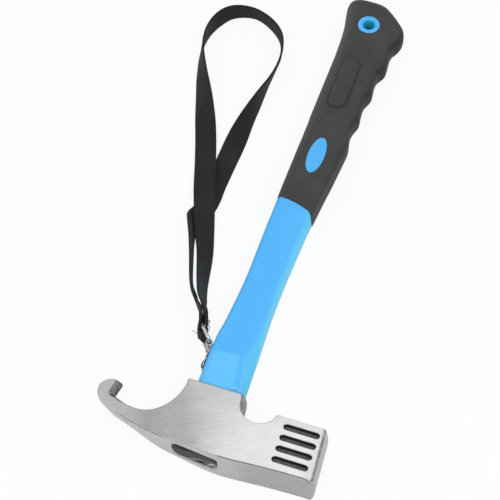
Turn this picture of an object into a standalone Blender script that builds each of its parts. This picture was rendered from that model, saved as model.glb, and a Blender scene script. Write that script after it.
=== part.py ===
"""Camping hammer with a peg hook, a two-shot moulded handle and a webbing wrist strap.

The hammer lies on its side. X runs along the head towards the striking face, Y along the
handle towards the butt and Z up through the side of the head. The drawing origin is the middle
of the head's neck; one empty moves it so that the world origin is under the middle of the hammer.
"""

import math

import bmesh
import bpy
from mathutils import Matrix, Vector

MM = 0.001

# Fits
SEAT_GAP = 0.3 * MM  # between pieces that touch on the real hammer
CUT_OVERRUN = 4 * MM  # how far a cutter runs past the face that it opens

# Head
HEAD_THICKNESS = 21 * MM
HOOK_THICKNESS = 5.6 * MM
TAPER_START_CROWN_X = 14 * MM  # where the sides start to close in along the crown
TAPER_START_NECK_X = -12 * MM  # and along the neck's top
TAPER_END_X = -40 * MM  # where they reach the hook's thickness
TAPER_STEPS = 10
STRIKE_REACH = 61.9 * MM  # from the neck's middle to the middle of the striking face
HOOK_REACH = 58.2 * MM
CROWN_DEPTH = 36.1 * MM  # from the neck's top to the crown
NECK_LEFT = 14.1 * MM
NECK_RIGHT = 14 * MM
NECK_BULGE = 2.8 * MM  # how much wider the neck is at mid thickness
NECK_BULGE_DEPTH = 12 * MM
THROAT_RADIUS = 19.5 * MM
THROAT_DEPTH = 21.2 * MM  # from the neck's top to the throat's bottom
THROAT_BED_RADIUS = 61 * MM  # the shallow arc from the throat's bottom out to the hook
NOTCH_RADIUS = 10 * MM
NOTCH_CENTRE_DEPTH = 3 * MM
BLOCK_SHOULDER_DEPTH = 5.5 * MM  # the striking block's upper edge, below the neck's top
CROWN_FLAT_END_X = 12 * MM
CROWN_RADIUS = 171 * MM
HOOK_OUTER_RADIUS = 7.5 * MM
HOOK_FINGER_WIDTH = 6.2 * MM
HOOK_TIP_WIDTH = 4.6 * MM
HOOK_TIP_DROP = 1.4 * MM
HOOK_EDGE = 3.6 * MM  # how far the hook's sharpened inner edge stands out at mid thickness
HOOK_CORNER = 1.6 * MM
STRIKE_BEVEL = 1.5 * MM
STRIKE_SLANT = 0.077  # the striking face leans out towards the crown

# Grooves on both sides of the striking block
GROOVE_COUNT = 4
GROOVE_PITCH = 6.28 * MM
GROOVE_FIRST_DEPTH = 10.6 * MM  # first groove, below the neck's top
GROOVE_LENGTH = 18.8 * MM
GROOVE_WIDTH = 3.3 * MM
GROOVE_DEPTH = 3 * MM
GROOVE_TO_FACE = 3.7 * MM  # from the grooves' outer ends to the striking face

# Eye and what fills it
EYE_CENTRE_X = 1.2 * MM
EYE_LENGTH = 25 * MM
EYE_WIDTH = 10.6 * MM
EYE_END_STEPS = 9  # odd, so that no corner of the eye falls on the head's middle edge
CORE_WIDTH = 13 * MM
CORE_THICKNESS = 7.2 * MM
CORE_EYE_DEPTH = 28 * MM  # how far the core goes into the head
CORE_TO_HANG = 11.7 * MM  # from the core's end to the middle of the hang hole
RESIN_RECESS = 4.5 * MM  # from the crown to the resin in the eye
RESIN_TOP_DEPTH = 0.6 * MM  # from the neck's top down to the resin

# Handle: stations are distance from the neck's top, left edge, right edge and half thickness
SHAFT_SIDE_X = -10.4 * MM  # the shaft's flat side under the strap plate
SLEEVE_STATIONS = (
    (0 * MM, -9.6 * MM, 13.2 * MM, 9.7 * MM),
    (2.5 * MM, SHAFT_SIDE_X, 13.9 * MM, 10.2 * MM),
    (14 * MM, SHAFT_SIDE_X, 14.0 * MM, 10.2 * MM),
    (22 * MM, SHAFT_SIDE_X, 13.9 * MM, 9.7 * MM),
    (30 * MM, SHAFT_SIDE_X, 13.3 * MM, 9.5 * MM),
    (37 * MM, -9.5 * MM, 12.8 * MM, 9.4 * MM),
    (46 * MM, -8.8 * MM, 12.3 * MM, 9.4 * MM),
    (56 * MM, -8.2 * MM, 11.9 * MM, 9.3 * MM),
    (68 * MM, -7.7 * MM, 11.8 * MM, 9.3 * MM),
    (82 * MM, -7.6 * MM, 12.0 * MM, 9.3 * MM),
    (96 * MM, -7.8 * MM, 12.5 * MM, 9.3 * MM),
    (108 * MM, -7.9 * MM, 13.0 * MM, 9.3 * MM),
)
SLEEVE_SQUARENESS = 4.5  # superellipse exponent of the bare shaft
JOIN_Y = 119.5 * MM  # where the grip starts
JOIN_LEFT = -8.0 * MM
JOIN_RIGHT = 13.6 * MM
JOIN_HALF_THICKNESS = 9.3 * MM
JOIN_SLANT = 0.28  # the grip's front edge leans across the handle
GRIP_LIP = 0.5 * MM  # how far the grip's front edge stands proud of the shaft
GRIP_WALL = 2.2 * MM
SLEEVE_WALL = 0.7 * MM  # least sleeve between the core and the grip
GRIP_SQUARENESS = 2.9
HALF_GRIP = 10 * MM
GRIP_SIDE_X = -8.9 * MM  # the grip's straight back
BUTT_Y = 268.3 * MM  # from the neck's top to the butt's end
SLEEVE_END_INSET = 8 * MM  # rubber left behind the sleeve's end
# Finger grooves and butt: distance from the butt's end, left edge, right edge and half thickness
GRIP_SECTIONS = (
    (140.3 * MM, -8.8 * MM, 14.7 * MM, 9.9 * MM),
    (132.3 * MM, -8.8 * MM, 15.3 * MM, HALF_GRIP),
    (122.3 * MM, -8.8 * MM, 16.2 * MM, HALF_GRIP),
    (111.3 * MM, GRIP_SIDE_X, 16.9 * MM, HALF_GRIP),
    (104.3 * MM, GRIP_SIDE_X, 17.4 * MM, HALF_GRIP),
    (99.8 * MM, GRIP_SIDE_X, 17.5 * MM, HALF_GRIP),
    (95.3 * MM, GRIP_SIDE_X, 16.6 * MM, HALF_GRIP),
    (90.8 * MM, GRIP_SIDE_X, 15.9 * MM, HALF_GRIP),
    (87.3 * MM, GRIP_SIDE_X, 16.2 * MM, HALF_GRIP),
    (84.3 * MM, GRIP_SIDE_X, 16.9 * MM, HALF_GRIP),
    (80.8 * MM, GRIP_SIDE_X, 17.8 * MM, HALF_GRIP),
    (76.3 * MM, GRIP_SIDE_X, 17.3 * MM, HALF_GRIP),
    (70.8 * MM, GRIP_SIDE_X, 16.7 * MM, HALF_GRIP),
    (67.3 * MM, GRIP_SIDE_X, 17.1 * MM, HALF_GRIP),
    (64.3 * MM, GRIP_SIDE_X, 18.2 * MM, HALF_GRIP),
    (60.8 * MM, GRIP_SIDE_X, 19.0 * MM, HALF_GRIP),
    (56.3 * MM, GRIP_SIDE_X, 18.5 * MM, HALF_GRIP),
    (52.3 * MM, GRIP_SIDE_X, 18.1 * MM, HALF_GRIP),
    (48.8 * MM, GRIP_SIDE_X, 18.6 * MM, HALF_GRIP),
    (45.3 * MM, GRIP_SIDE_X, 20.2 * MM, HALF_GRIP),
    (41.8 * MM, GRIP_SIDE_X, 21.3 * MM, HALF_GRIP),
    (36.3 * MM, -9.1 * MM, 21.0 * MM, HALF_GRIP),
    (31.3 * MM, -9.3 * MM, 20.6 * MM, HALF_GRIP),
    (27.8 * MM, -9.5 * MM, 21.3 * MM, HALF_GRIP),
    (24.3 * MM, -9.8 * MM, 23.0 * MM, HALF_GRIP),
    (20.3 * MM, -10.2 * MM, 24.1 * MM, HALF_GRIP),
    (16.3 * MM, -10.9 * MM, 24.0 * MM, HALF_GRIP),
    (12.8 * MM, -11.6 * MM, 22.8 * MM, HALF_GRIP),
    (9.8 * MM, -12.1 * MM, 20.2 * MM, HALF_GRIP),
    (6.8 * MM, -12.5 * MM, 17.1 * MM, 9.8 * MM),
    (3.8 * MM, -12.3 * MM, 13.6 * MM, 9.2 * MM),
    (1.3 * MM, -11.0 * MM, 10.8 * MM, 7.6 * MM),
    (0 * MM, -8.5 * MM, 7.4 * MM, 5.2 * MM),
)
SECTION_POINTS = 32

# Moulded details of the handle
OVAL_X = 3.8 * MM
OVAL_FROM_BUTT = 115.4 * MM
OVAL_LENGTH = 25 * MM
OVAL_WIDTH = 11.6 * MM
OVAL_HALF_HEIGHT = 9.9 * MM
PAD_X = 3.8 * MM
PAD_FROM_BUTT = 63.9 * MM
PAD_LENGTH = 35 * MM
PAD_WIDTH = 9.4 * MM
HANG_X = 3.9 * MM
HANG_FROM_BUTT = 20.6 * MM
HANG_BOSS_DIAMETER = 11.9 * MM
HANG_HOLE_DIAMETER = 6.6 * MM
HANG_HALF_HEIGHT = 9.8 * MM
ROUND_STEPS = 32
SLOT_END_STEPS = 6  # sides of a slot's half round end

# Strap fitting on the claw side of the shaft
PLATE_WIDTH = 9.6 * MM
PLATE_THICKNESS = 0.8 * MM
PLATE_START_Y = 11 * MM
PIVOT_Y = 26.2 * MM
KNUCKLE_DIAMETER = 4 * MM
SCREW_Y = 15.2 * MM
SCREW_HEAD_DIAMETER = 4.6 * MM
SCREW_HEAD_HEIGHT = 1.3 * MM
SCREW_CROWN_SHARE = 0.72  # of the head's radius, where its domed top starts to fall away
SCREW_RIM_SHARE = 0.4  # of the head's height, where its side is upright
SCREW_SHOULDER_SHARE = 0.86  # of the head's height, at the dome's edge
SCREW_SHANK_DIAMETER = 2.6 * MM
SCREW_TO_CORE = 0.7 * MM  # from the screw's point to the core
RING_WIRE = 1.8 * MM
RING_HEIGHT = 15.4 * MM  # between the middles of the two long bars
RING_LENGTH = 8.8 * MM  # between the pivot and the bar that carries the strap
RING_CORNER = 2.2 * MM
RING_REST_ANGLE = math.radians(43)  # from the handle's axis, away from the shaft
RING_CORNER_STEPS = 5

# Strap
STRAP_WIDTH = 12 * MM
STRAP_THICKNESS = 1.1 * MM
LAYER_GAP = 0.35 * MM  # between layers of webbing where they are sewn together
EYE_SLACK = 0.6 * MM  # between the strap's eye and the ring's bar
EYE_ANGLE = math.radians(35)  # the eye's far end points back to the shaft, this far off the handle
EYE_TURNS = (75, 125, 180, 235, 285)  # degrees round the bar at which the eye has a route point
NECK_X = -21.4 * MM  # middle of the sewn neck
NECK_Y = 41.6 * MM
NECK_ANGLE = math.radians(16)  # from the handle's axis, away from the shaft
STITCH_LENGTH = 3 * MM
STITCH_WALL = 0.5 * MM
STRAP_STEPS = 3  # points between two points of the route
# The loop from the neck's left layer round to its middle layer: along the head and along the handle
# in millimetres, how far it is lifted from the ground (0) to the ring's middle (1), and the degrees
# that the webbing leans over from standing on edge
LOOP_ROUTE = (
    (-29.0, 51.0, 0.45, 10),
    (-32.3, 56.8, 0.18, 14),
    (-36.7, 64.6, 0.04, 5),
    (-41.3, 77.4, 0, 6),
    (-45.2, 88.5, 0, 11),
    (-47.4, 95.5, 0, 22),
    (-48.0, 102.0, 0, 54),
    (-46.8, 109.0, 0, 80),
    (-45.6, 118.0, 0, 88),
    (-45.8, 130.0, 0, 90),
    (-45.1, 151.0, 0, 82),
    (-43.4, 172.0, 0, 38),
    (-41.4, 189.0, 0, 12),
    (-39.8, 203.0, 0, -8),
    (-39.2, 214.3, 0, -12),
    (-39.9, 224.7, 0, -6),
    (-43.6, 234.6, 0, 0),
    (-52.0, 242.2, 0, 4),
    (-63.0, 246.4, 0, 8),
    (-74.2, 244.1, 0, 0),
    (-80.9, 236.9, 0, -8),
    (-84.4, 225.4, 0, -2),
    (-83.4, 212.0, 0, 8),
    (-78.0, 196.5, 0, 27),
    (-70.9, 180.5, 0.02, 52),
    (-62.8, 160.4, 0.16, 86),
    (-56.0, 141.0, 0.30, 94),
    (-50.6, 124.0, 0.30, 98),
    (-45.2, 109.0, 0.36, 106),
    (-40.5, 96.0, 0.42, 116),
    (-35.3, 82.0, 0.20, 135),
    (-30.5, 64.6, 0.10, 153),
    (-26.6, 53.6, 0.50, 160),
)


# Drawing helpers

def material(name, colour, roughness, metallic=0.0):
    """Principled material with one colour."""
    made = bpy.data.materials.new(name)
    made.use_nodes = True
    shader = made.node_tree.nodes["Principled BSDF"]
    shader.inputs["Base Color"].default_value = (*colour, 1.0)
    shader.inputs["Roughness"].default_value = roughness
    shader.inputs["Metallic"].default_value = metallic
    return made


def arc(centre, radius, start, end, steps):
    """Points on an arc, from start to end in degrees."""
    points = []
    for step in range(steps + 1):
        angle = math.radians(start + (end - start) * step / steps)
        points.append(Vector((centre[0] + radius * math.cos(angle), centre[1] + radius * math.sin(angle))))
    return points


def slot_outline(length, width, steps):
    """Outline with two straight sides and round ends, long in its first axis."""
    reach = (length - width) / 2
    return arc((reach, 0), width / 2, -90, 90, steps) + arc((-reach, 0), width / 2, 90, 270, steps)


def mesh_object(name, bm, collection, parent, finish=None):
    """Closed mesh from a bmesh, with its faces pointing out."""
    bmesh.ops.recalc_face_normals(bm, faces=bm.faces)
    mesh = bpy.data.meshes.new(name)
    bm.to_mesh(mesh)
    bm.free()
    made = bpy.data.objects.new(name, mesh)
    collection.objects.link(made)
    made.parent = parent
    if finish:
        mesh.materials.append(finish)
        mesh.shade_smooth()
        mesh.set_sharp_from_angle(angle=math.radians(35))
    return made


def prism(outline, low, high, to_world):
    """Bmesh of an outline drawn in X and Y, pulled from low to high along Z, then placed by a matrix."""
    bm = bmesh.new()
    face = bm.faces.new([bm.verts.new((point[0], point[1], low)) for point in outline])
    pulled = bmesh.ops.extrude_face_region(bm, geom=[face])
    moved = [item for item in pulled["geom"] if isinstance(item, bmesh.types.BMVert)]
    bmesh.ops.translate(bm, verts=moved, vec=(0, 0, high - low))
    bmesh.ops.transform(bm, matrix=to_world, verts=bm.verts)
    return bm


def loft(rings):
    """Bmesh through rings of points, closed at both ends."""
    bm = bmesh.new()
    rows = [[bm.verts.new(point) for point in ring] for ring in rings]
    for row, following in zip(rows, rows[1:]):
        for index in range(len(row)):
            beside = (index + 1) % len(row)
            bm.faces.new((row[index], row[beside], following[beside], following[index]))
    bm.faces.new(rows[0])
    bm.faces.new(rows[-1])
    return bm


def handle_ring(station, squareness, slant=0.0):
    """Superellipse across the handle. Slant leans the ring over the handle's width."""
    y, left, right, half_thickness = station
    middle = (left + right) / 2
    half_width = (right - left) / 2
    power = 2 / squareness
    ring = []
    for index in range(SECTION_POINTS):
        angle = math.tau * index / SECTION_POINTS
        across = math.copysign(abs(math.cos(angle)) ** power, math.cos(angle))
        height = math.copysign(abs(math.sin(angle)) ** power, math.sin(angle))
        x = middle + half_width * across
        ring.append(Vector((x, y - slant * (x - middle), half_thickness * height)))
    return ring


def shrunk(station, amount):
    """Station with its edges and faces moved in by an amount."""
    y, left, right, half_thickness = station
    return (y, left + amount, right - amount, half_thickness - amount)


def cut(target, cutter, operation="DIFFERENCE"):
    """Exact boolean with a cutter that stays in the file."""
    modifier = target.modifiers.new(cutter.name, "BOOLEAN")
    modifier.operation = operation
    modifier.solver = "EXACT"
    modifier.object = cutter
    cutter.hide_render = True
    cutter.display_type = "WIRE"


def upright(x, y):
    """Matrix that leaves a prism along Z and moves it in the plane."""
    return Matrix.Translation((x, y, 0))


def along_handle(x):
    """Matrix that lays a prism along the handle: its X stays, its Y becomes Z."""
    turn = Matrix(((1, 0, 0, 0), (0, 0, 1, 0), (0, 1, 0, 0), (0, 0, 0, 1)))
    return Matrix.Translation((x, 0, 0)) @ turn


def oval_outline(length, width, steps):
    """Ellipse, long in Y."""
    return [
        Vector((width / 2 * math.cos(turn), length / 2 * math.sin(turn)))
        for turn in (math.tau * step / steps for step in range(steps))
    ]


def rectangle_outline(width, height):
    """Rectangle about the origin."""
    x, y = width / 2, height / 2
    return [Vector((x, -y)), Vector((x, y)), Vector((-x, y)), Vector((-x, -y))]


# Head

def taper_line(share, y):
    """Where the head has a given share of its taper, at a height between the crown and the neck."""
    rise = (y + CROWN_DEPTH) / CROWN_DEPTH
    start = TAPER_START_CROWN_X + (TAPER_START_NECK_X - TAPER_START_CROWN_X) * rise
    return TAPER_END_X + (start - TAPER_END_X) * share


def half_thickness_at(x, y):
    """Half the head's thickness: full behind the striking face, easing down to the hook."""
    full = HEAD_THICKNESS / 2
    thin = HOOK_THICKNESS / 2
    share = (x - TAPER_END_X) / (taper_line(1, y) - TAPER_END_X)
    share = min(max(share, 0.0), 1.0)
    thickness = thin + (full - thin) * share * share * (3 - 2 * share)
    into_bevel = (x - (STRIKE_REACH - STRIKE_BEVEL)) / STRIKE_BEVEL
    return thickness - STRIKE_BEVEL * min(max(into_bevel, 0.0), 1.0)


def head_outline():
    """Side outline of the head, as (point, bulge at mid thickness), anticlockwise from the neck's right."""
    throat_x = -NECK_LEFT - THROAT_RADIUS
    hook_x = HOOK_OUTER_RADIUS - HOOK_REACH
    crown_centre_y = CROWN_RADIUS - CROWN_DEPTH
    hook_reach_to_centre = CROWN_RADIUS - HOOK_OUTER_RADIUS
    hook_y = crown_centre_y - math.sqrt(hook_reach_to_centre ** 2 - (hook_x - CROWN_FLAT_END_X) ** 2)
    tangent = math.degrees(math.atan2(hook_y - crown_centre_y, hook_x - CROWN_FLAT_END_X))

    plain = []
    plain += [Vector((NECK_RIGHT, 0)), Vector((-NECK_LEFT, 0))]
    plain += arc((throat_x, THROAT_RADIUS - THROAT_DEPTH), THROAT_RADIUS, 0, -90, 12)
    bed_centre = (throat_x, THROAT_BED_RADIUS - THROAT_DEPTH)
    inner_x = HOOK_FINGER_WIDTH - HOOK_REACH
    bed_end = math.degrees(math.asin((inner_x + HOOK_CORNER - throat_x) / THROAT_BED_RADIUS)) - 90
    bed = arc(bed_centre, THROAT_BED_RADIUS, -90, bed_end, 5)[1:]
    plain += bed
    corner_y = bed[-1].y + HOOK_CORNER
    plain += arc((inner_x + HOOK_CORNER, corner_y), HOOK_CORNER, 250, 180, 3)
    edge_start = len(plain) - 2
    tip_top = hook_y + HOOK_OUTER_RADIUS
    tip_inner = Vector((inner_x + HOOK_TIP_DROP, tip_top - HOOK_TIP_DROP))
    plain.append(tip_inner)
    plain += arc((hook_x, hook_y), HOOK_OUTER_RADIUS, 97, 360 + tangent, 14)
    edge_end = edge_start + 4
    plain += arc((CROWN_FLAT_END_X, crown_centre_y), CROWN_RADIUS, tangent, -90, 14)[1:]
    block_top = -BLOCK_SHOULDER_DEPTH
    plain.append(Vector((STRIKE_REACH - STRIKE_BEVEL, -CROWN_DEPTH)))
    plain.append(Vector((STRIKE_REACH, STRIKE_BEVEL - CROWN_DEPTH)))
    plain.append(Vector((STRIKE_REACH, block_top - STRIKE_BEVEL)))
    plain.append(Vector((STRIKE_REACH - STRIKE_BEVEL, block_top)))
    notch_centre = (NECK_RIGHT + NOTCH_RADIUS, -NOTCH_CENTRE_DEPTH)
    shoulder = math.degrees(math.asin((block_top + NOTCH_CENTRE_DEPTH) / NOTCH_RADIUS))
    plain += arc(notch_centre, NOTCH_RADIUS, shoulder, -180, 14)

    outline = []
    for index, point in enumerate(plain):
        bulge = Vector((0, 0))
        fade = 1 - min(-point.y / NECK_BULGE_DEPTH, 1)
        if edge_start <= index < edge_end:
            bulge = Vector((HOOK_EDGE, 0)) if index > edge_start else Vector((HOOK_EDGE / 2, 0))
        elif -NECK_LEFT - NECK_BULGE_DEPTH < point.x < NECK_RIGHT + NECK_BULGE_DEPTH and fade > 0:
            side = 1 if point.x > 0 else -1
            bulge = Vector((side * NECK_BULGE * fade, 0))
        outline.append((point, bulge))
    return outline


def split_by_plane(bm, point, normal):
    """Cut every face that crosses a plane."""
    everything = list(bm.verts) + list(bm.edges) + list(bm.faces)
    bmesh.ops.bisect_plane(bm, geom=everything, plane_co=point, plane_no=normal, dist=0.001 * MM)


def head_blank():
    """The forging before its eye and grooves: the outline at five heights, then its thickness."""
    outline = head_outline()
    rings = []
    for height in (-1.0, -0.5, 0.0, 0.5, 1.0):
        swell = 1 - abs(height)
        rings.append([Vector((*(point + bulge * swell), height)) for point, bulge in outline])
    bm = loft(rings)
    for step in range(TAPER_STEPS + 1):
        share = step / TAPER_STEPS
        crown = Vector((taper_line(share, -CROWN_DEPTH), -CROWN_DEPTH, 0))
        neck = Vector((taper_line(share, 0), 0, 0))
        split_by_plane(bm, crown, (neck - crown).cross(Vector((0, 0, 1))))
    split_by_plane(bm, Vector((STRIKE_REACH - STRIKE_BEVEL, 0, 0)), Vector((1, 0, 0)))
    block_start = NECK_RIGHT + 2 * NOTCH_RADIUS
    block_middle = -(BLOCK_SHOULDER_DEPTH + CROWN_DEPTH) / 2
    for vert in bm.verts:
        vert.co.z *= half_thickness_at(vert.co.x, vert.co.y)
        reach = max(vert.co.x - block_start, 0) / (STRIKE_REACH - block_start)
        vert.co.x -= STRIKE_SLANT * reach * (vert.co.y - block_middle)
    return bm


def build_head(parts, cutters, frame):
    """Forged head with its eye and its grooves."""
    steel = material("forged_steel", (0.55, 0.555, 0.565), 0.34, 1.0)
    head = mesh_object("head", head_blank(), parts, frame, steel)
    eye = slot_outline(EYE_LENGTH, EYE_WIDTH, EYE_END_STEPS)
    bm = prism(eye, -CROWN_DEPTH - CUT_OVERRUN, CUT_OVERRUN, along_handle(EYE_CENTRE_X))
    cut(head, mesh_object("eye_cutter", bm, cutters, frame))
    groove = slot_outline(GROOVE_LENGTH, GROOVE_WIDTH, SLOT_END_STEPS)
    groove_x = STRIKE_REACH - GROOVE_TO_FACE - GROOVE_LENGTH / 2
    half = HEAD_THICKNESS / 2
    for row in range(GROOVE_COUNT):
        groove_y = -GROOVE_FIRST_DEPTH - GROOVE_PITCH * row
        for side, floor in (("upper", half - GROOVE_DEPTH), ("lower", -half - CUT_OVERRUN)):
            bm = prism(groove, floor, floor + GROOVE_DEPTH + CUT_OVERRUN, upright(groove_x, groove_y))
            cut(head, mesh_object(f"groove_cutter_{side}_{row + 1}", bm, cutters, frame))


# Handle

def grip_stations():
    """Stations of the grip's outside, measured from the neck's top."""
    return [(BUTT_Y - section[0], *section[1:]) for section in GRIP_SECTIONS]


def core_end():
    """Where the core stops, short of the hang hole."""
    return BUTT_Y - HANG_FROM_BUTT - CORE_TO_HANG


def screw_depth():
    """How far the screw goes into the shaft: up to the core's side."""
    return EYE_CENTRE_X - CORE_WIDTH / 2 - SHAFT_SIDE_X - SCREW_TO_CORE


def sleeve_join():
    """Station of the bare shaft where it meets the grip."""
    return (JOIN_Y, JOIN_LEFT, JOIN_RIGHT, JOIN_HALF_THICKNESS)


def covered_stations():
    """Stations of the sleeve inside the grip, each one wall inside the grip's own."""
    last = BUTT_Y - SLEEVE_END_INSET
    first = shrunk(sleeve_join(), GRIP_WALL - GRIP_LIP)
    boss_start = BUTT_Y - HANG_FROM_BUTT - HANG_BOSS_DIAMETER
    inside = [shrunk(station, GRIP_WALL) for station in grip_stations() if station[0] < boss_start]
    straight = [(y, left, inside[0][2], half) for y, left, right, half in inside]
    stations = [first, *straight, (last, *straight[-1][1:])]
    reach = CORE_WIDTH / 2 + SEAT_GAP + SLEEVE_WALL
    walled = [
        (y, min(left, EYE_CENTRE_X - reach), max(right, EYE_CENTRE_X + reach), half)
        for y, left, right, half in stations
    ]
    return walled[0], walled[1:-1], walled[-1]


def build_sleeve(parts, cutters, frame):
    """Blue moulded jacket over the core, with its oval pads and the hang hole's boss."""
    blue = material("sleeve_blue", (0.12, 0.52, 0.98), 0.32)
    first, straight, end = covered_stations()
    rings = [handle_ring((SEAT_GAP, *SLEEVE_STATIONS[0][1:]), SLEEVE_SQUARENESS)]
    rings += [handle_ring(station, SLEEVE_SQUARENESS) for station in SLEEVE_STATIONS[1:]]
    rings.append(handle_ring(sleeve_join(), SLEEVE_SQUARENESS, JOIN_SLANT))
    rings.append(handle_ring(first, GRIP_SQUARENESS, JOIN_SLANT))
    rings += [handle_ring(station, GRIP_SQUARENESS) for station in straight]
    rings.append(handle_ring(end, GRIP_SQUARENESS))
    sleeve = mesh_object("handle_sleeve", loft(rings), parts, frame, blue)

    oval = oval_outline(OVAL_LENGTH, OVAL_WIDTH, ROUND_STEPS)
    bm = prism(oval, -OVAL_HALF_HEIGHT, OVAL_HALF_HEIGHT, upright(OVAL_X, BUTT_Y - OVAL_FROM_BUTT))
    cut(sleeve, mesh_object("oval_pad", bm, cutters, frame), "UNION")
    boss = oval_outline(HANG_BOSS_DIAMETER, HANG_BOSS_DIAMETER, ROUND_STEPS)
    bm = prism(boss, -HANG_HALF_HEIGHT, HANG_HALF_HEIGHT, upright(HANG_X, BUTT_Y - HANG_FROM_BUTT))
    cut(sleeve, mesh_object("hang_boss", bm, cutters, frame), "UNION")

    reach = HALF_GRIP + CUT_OVERRUN
    hole = oval_outline(HANG_HOLE_DIAMETER, HANG_HOLE_DIAMETER, ROUND_STEPS)
    bm = prism(hole, -reach, reach, upright(HANG_X, BUTT_Y - HANG_FROM_BUTT))
    cut(sleeve, mesh_object("hang_hole_cutter", bm, cutters, frame))
    cavity = slot_outline(CORE_WIDTH + 2 * SEAT_GAP, CORE_THICKNESS + 2 * SEAT_GAP, SLOT_END_STEPS)
    bm = prism(cavity, -CUT_OVERRUN, core_end() + SEAT_GAP, along_handle(EYE_CENTRE_X))
    cut(sleeve, mesh_object("core_cavity_cutter", bm, cutters, frame))
    pilot = SCREW_SHANK_DIAMETER + 2 * SEAT_GAP
    bm = screw_prism(pilot, -CUT_OVERRUN, screw_depth() + SEAT_GAP)
    cut(sleeve, mesh_object("pilot_hole_cutter", bm, cutters, frame))


def build_core(parts, frame):
    """Fibreglass rod from the eye to just short of the hang hole."""
    glass = material("fibreglass", (0.62, 0.60, 0.48), 0.55)
    outline = slot_outline(CORE_WIDTH, CORE_THICKNESS, SLOT_END_STEPS)
    bm = prism(outline, -CORE_EYE_DEPTH, core_end(), along_handle(EYE_CENTRE_X))
    mesh_object("handle_core", bm, parts, frame, glass)


def build_resin(parts, cutters, frame):
    """Bedding resin cast round the core in the eye, closed under the crown."""
    amber = material("resin", (0.16, 0.15, 0.13), 0.4)
    outline = slot_outline(EYE_LENGTH - 2 * SEAT_GAP, EYE_WIDTH - 2 * SEAT_GAP, EYE_END_STEPS)
    bm = prism(outline, RESIN_RECESS - CROWN_DEPTH, -RESIN_TOP_DEPTH, along_handle(EYE_CENTRE_X))
    resin = mesh_object("eye_resin", bm, parts, frame, amber)
    socket = slot_outline(CORE_WIDTH + 2 * SEAT_GAP, CORE_THICKNESS + 2 * SEAT_GAP, SLOT_END_STEPS)
    bm = prism(socket, -CORE_EYE_DEPTH - SEAT_GAP, CUT_OVERRUN, along_handle(EYE_CENTRE_X))
    cut(resin, mesh_object("resin_socket_cutter", bm, cutters, frame))


def build_grip(parts, cutters, frame):
    """Rubber grip moulded over the sleeve, with finger grooves, windows and a blank pad on each side."""
    rubber = material("grip_rubber", (0.075, 0.077, 0.078), 0.62)
    front = shrunk((JOIN_Y + SEAT_GAP, *sleeve_join()[1:]), -GRIP_LIP)
    rings = [handle_ring(front, GRIP_SQUARENESS, JOIN_SLANT)]
    rings += [handle_ring(station, GRIP_SQUARENESS) for station in grip_stations()]
    grip = mesh_object("grip", loft(rings), parts, frame, rubber)

    half = HEAD_THICKNESS / 2
    pad = slot_outline(PAD_LENGTH, PAD_WIDTH, SLOT_END_STEPS)
    turned = upright(PAD_X, BUTT_Y - PAD_FROM_BUTT) @ Matrix.Rotation(math.pi / 2, 4, "Z")
    cut(grip, mesh_object("blank_pads", prism(pad, -half, half, turned), cutters, frame), "UNION")

    first, straight, end = covered_stations()
    ahead = (first[0] - CUT_OVERRUN, *first[1:])
    hollow = [ahead, first, *straight, (end[0] + SEAT_GAP, *end[1:])]
    slants = [JOIN_SLANT, JOIN_SLANT] + [0.0] * (len(straight) + 1)
    hollow_rings = [
        handle_ring(shrunk(station, -SEAT_GAP), GRIP_SQUARENESS, slant)
        for station, slant in zip(hollow, slants)
    ]
    cut(grip, mesh_object("sleeve_cavity_cutter", loft(hollow_rings), cutters, frame))
    reach = half + CUT_OVERRUN
    window = oval_outline(OVAL_LENGTH + 2 * SEAT_GAP, OVAL_WIDTH + 2 * SEAT_GAP, ROUND_STEPS)
    bm = prism(window, -reach, reach, upright(OVAL_X, BUTT_Y - OVAL_FROM_BUTT))
    cut(grip, mesh_object("oval_window_cutter", bm, cutters, frame))
    bore_size = HANG_BOSS_DIAMETER + 2 * SEAT_GAP
    bore = oval_outline(bore_size, bore_size, ROUND_STEPS)
    bm = prism(bore, -reach, reach, upright(HANG_X, BUTT_Y - HANG_FROM_BUTT))
    cut(grip, mesh_object("hang_bore_cutter", bm, cutters, frame))


# Strap fitting

def plate_faces():
    """X of the plate's inner and outer faces."""
    inner = SHAFT_SIDE_X - SEAT_GAP
    return inner, inner - PLATE_THICKNESS


def pivot():
    """Axis of the ring in the plate's knuckle."""
    return Vector((SHAFT_SIDE_X - SEAT_GAP - KNUCKLE_DIAMETER / 2, PIVOT_Y, 0))


def screw_prism(diameter, outer, inner):
    """Round bar along X at the screw's place, from outside the shaft's side to inside it."""
    outline = oval_outline(diameter, diameter, ROUND_STEPS // 2)
    lay = Matrix.Translation((SHAFT_SIDE_X, SCREW_Y, 0)) @ Matrix.Rotation(math.pi / 2, 4, "Y")
    return prism(outline, outer, inner, lay)


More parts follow.
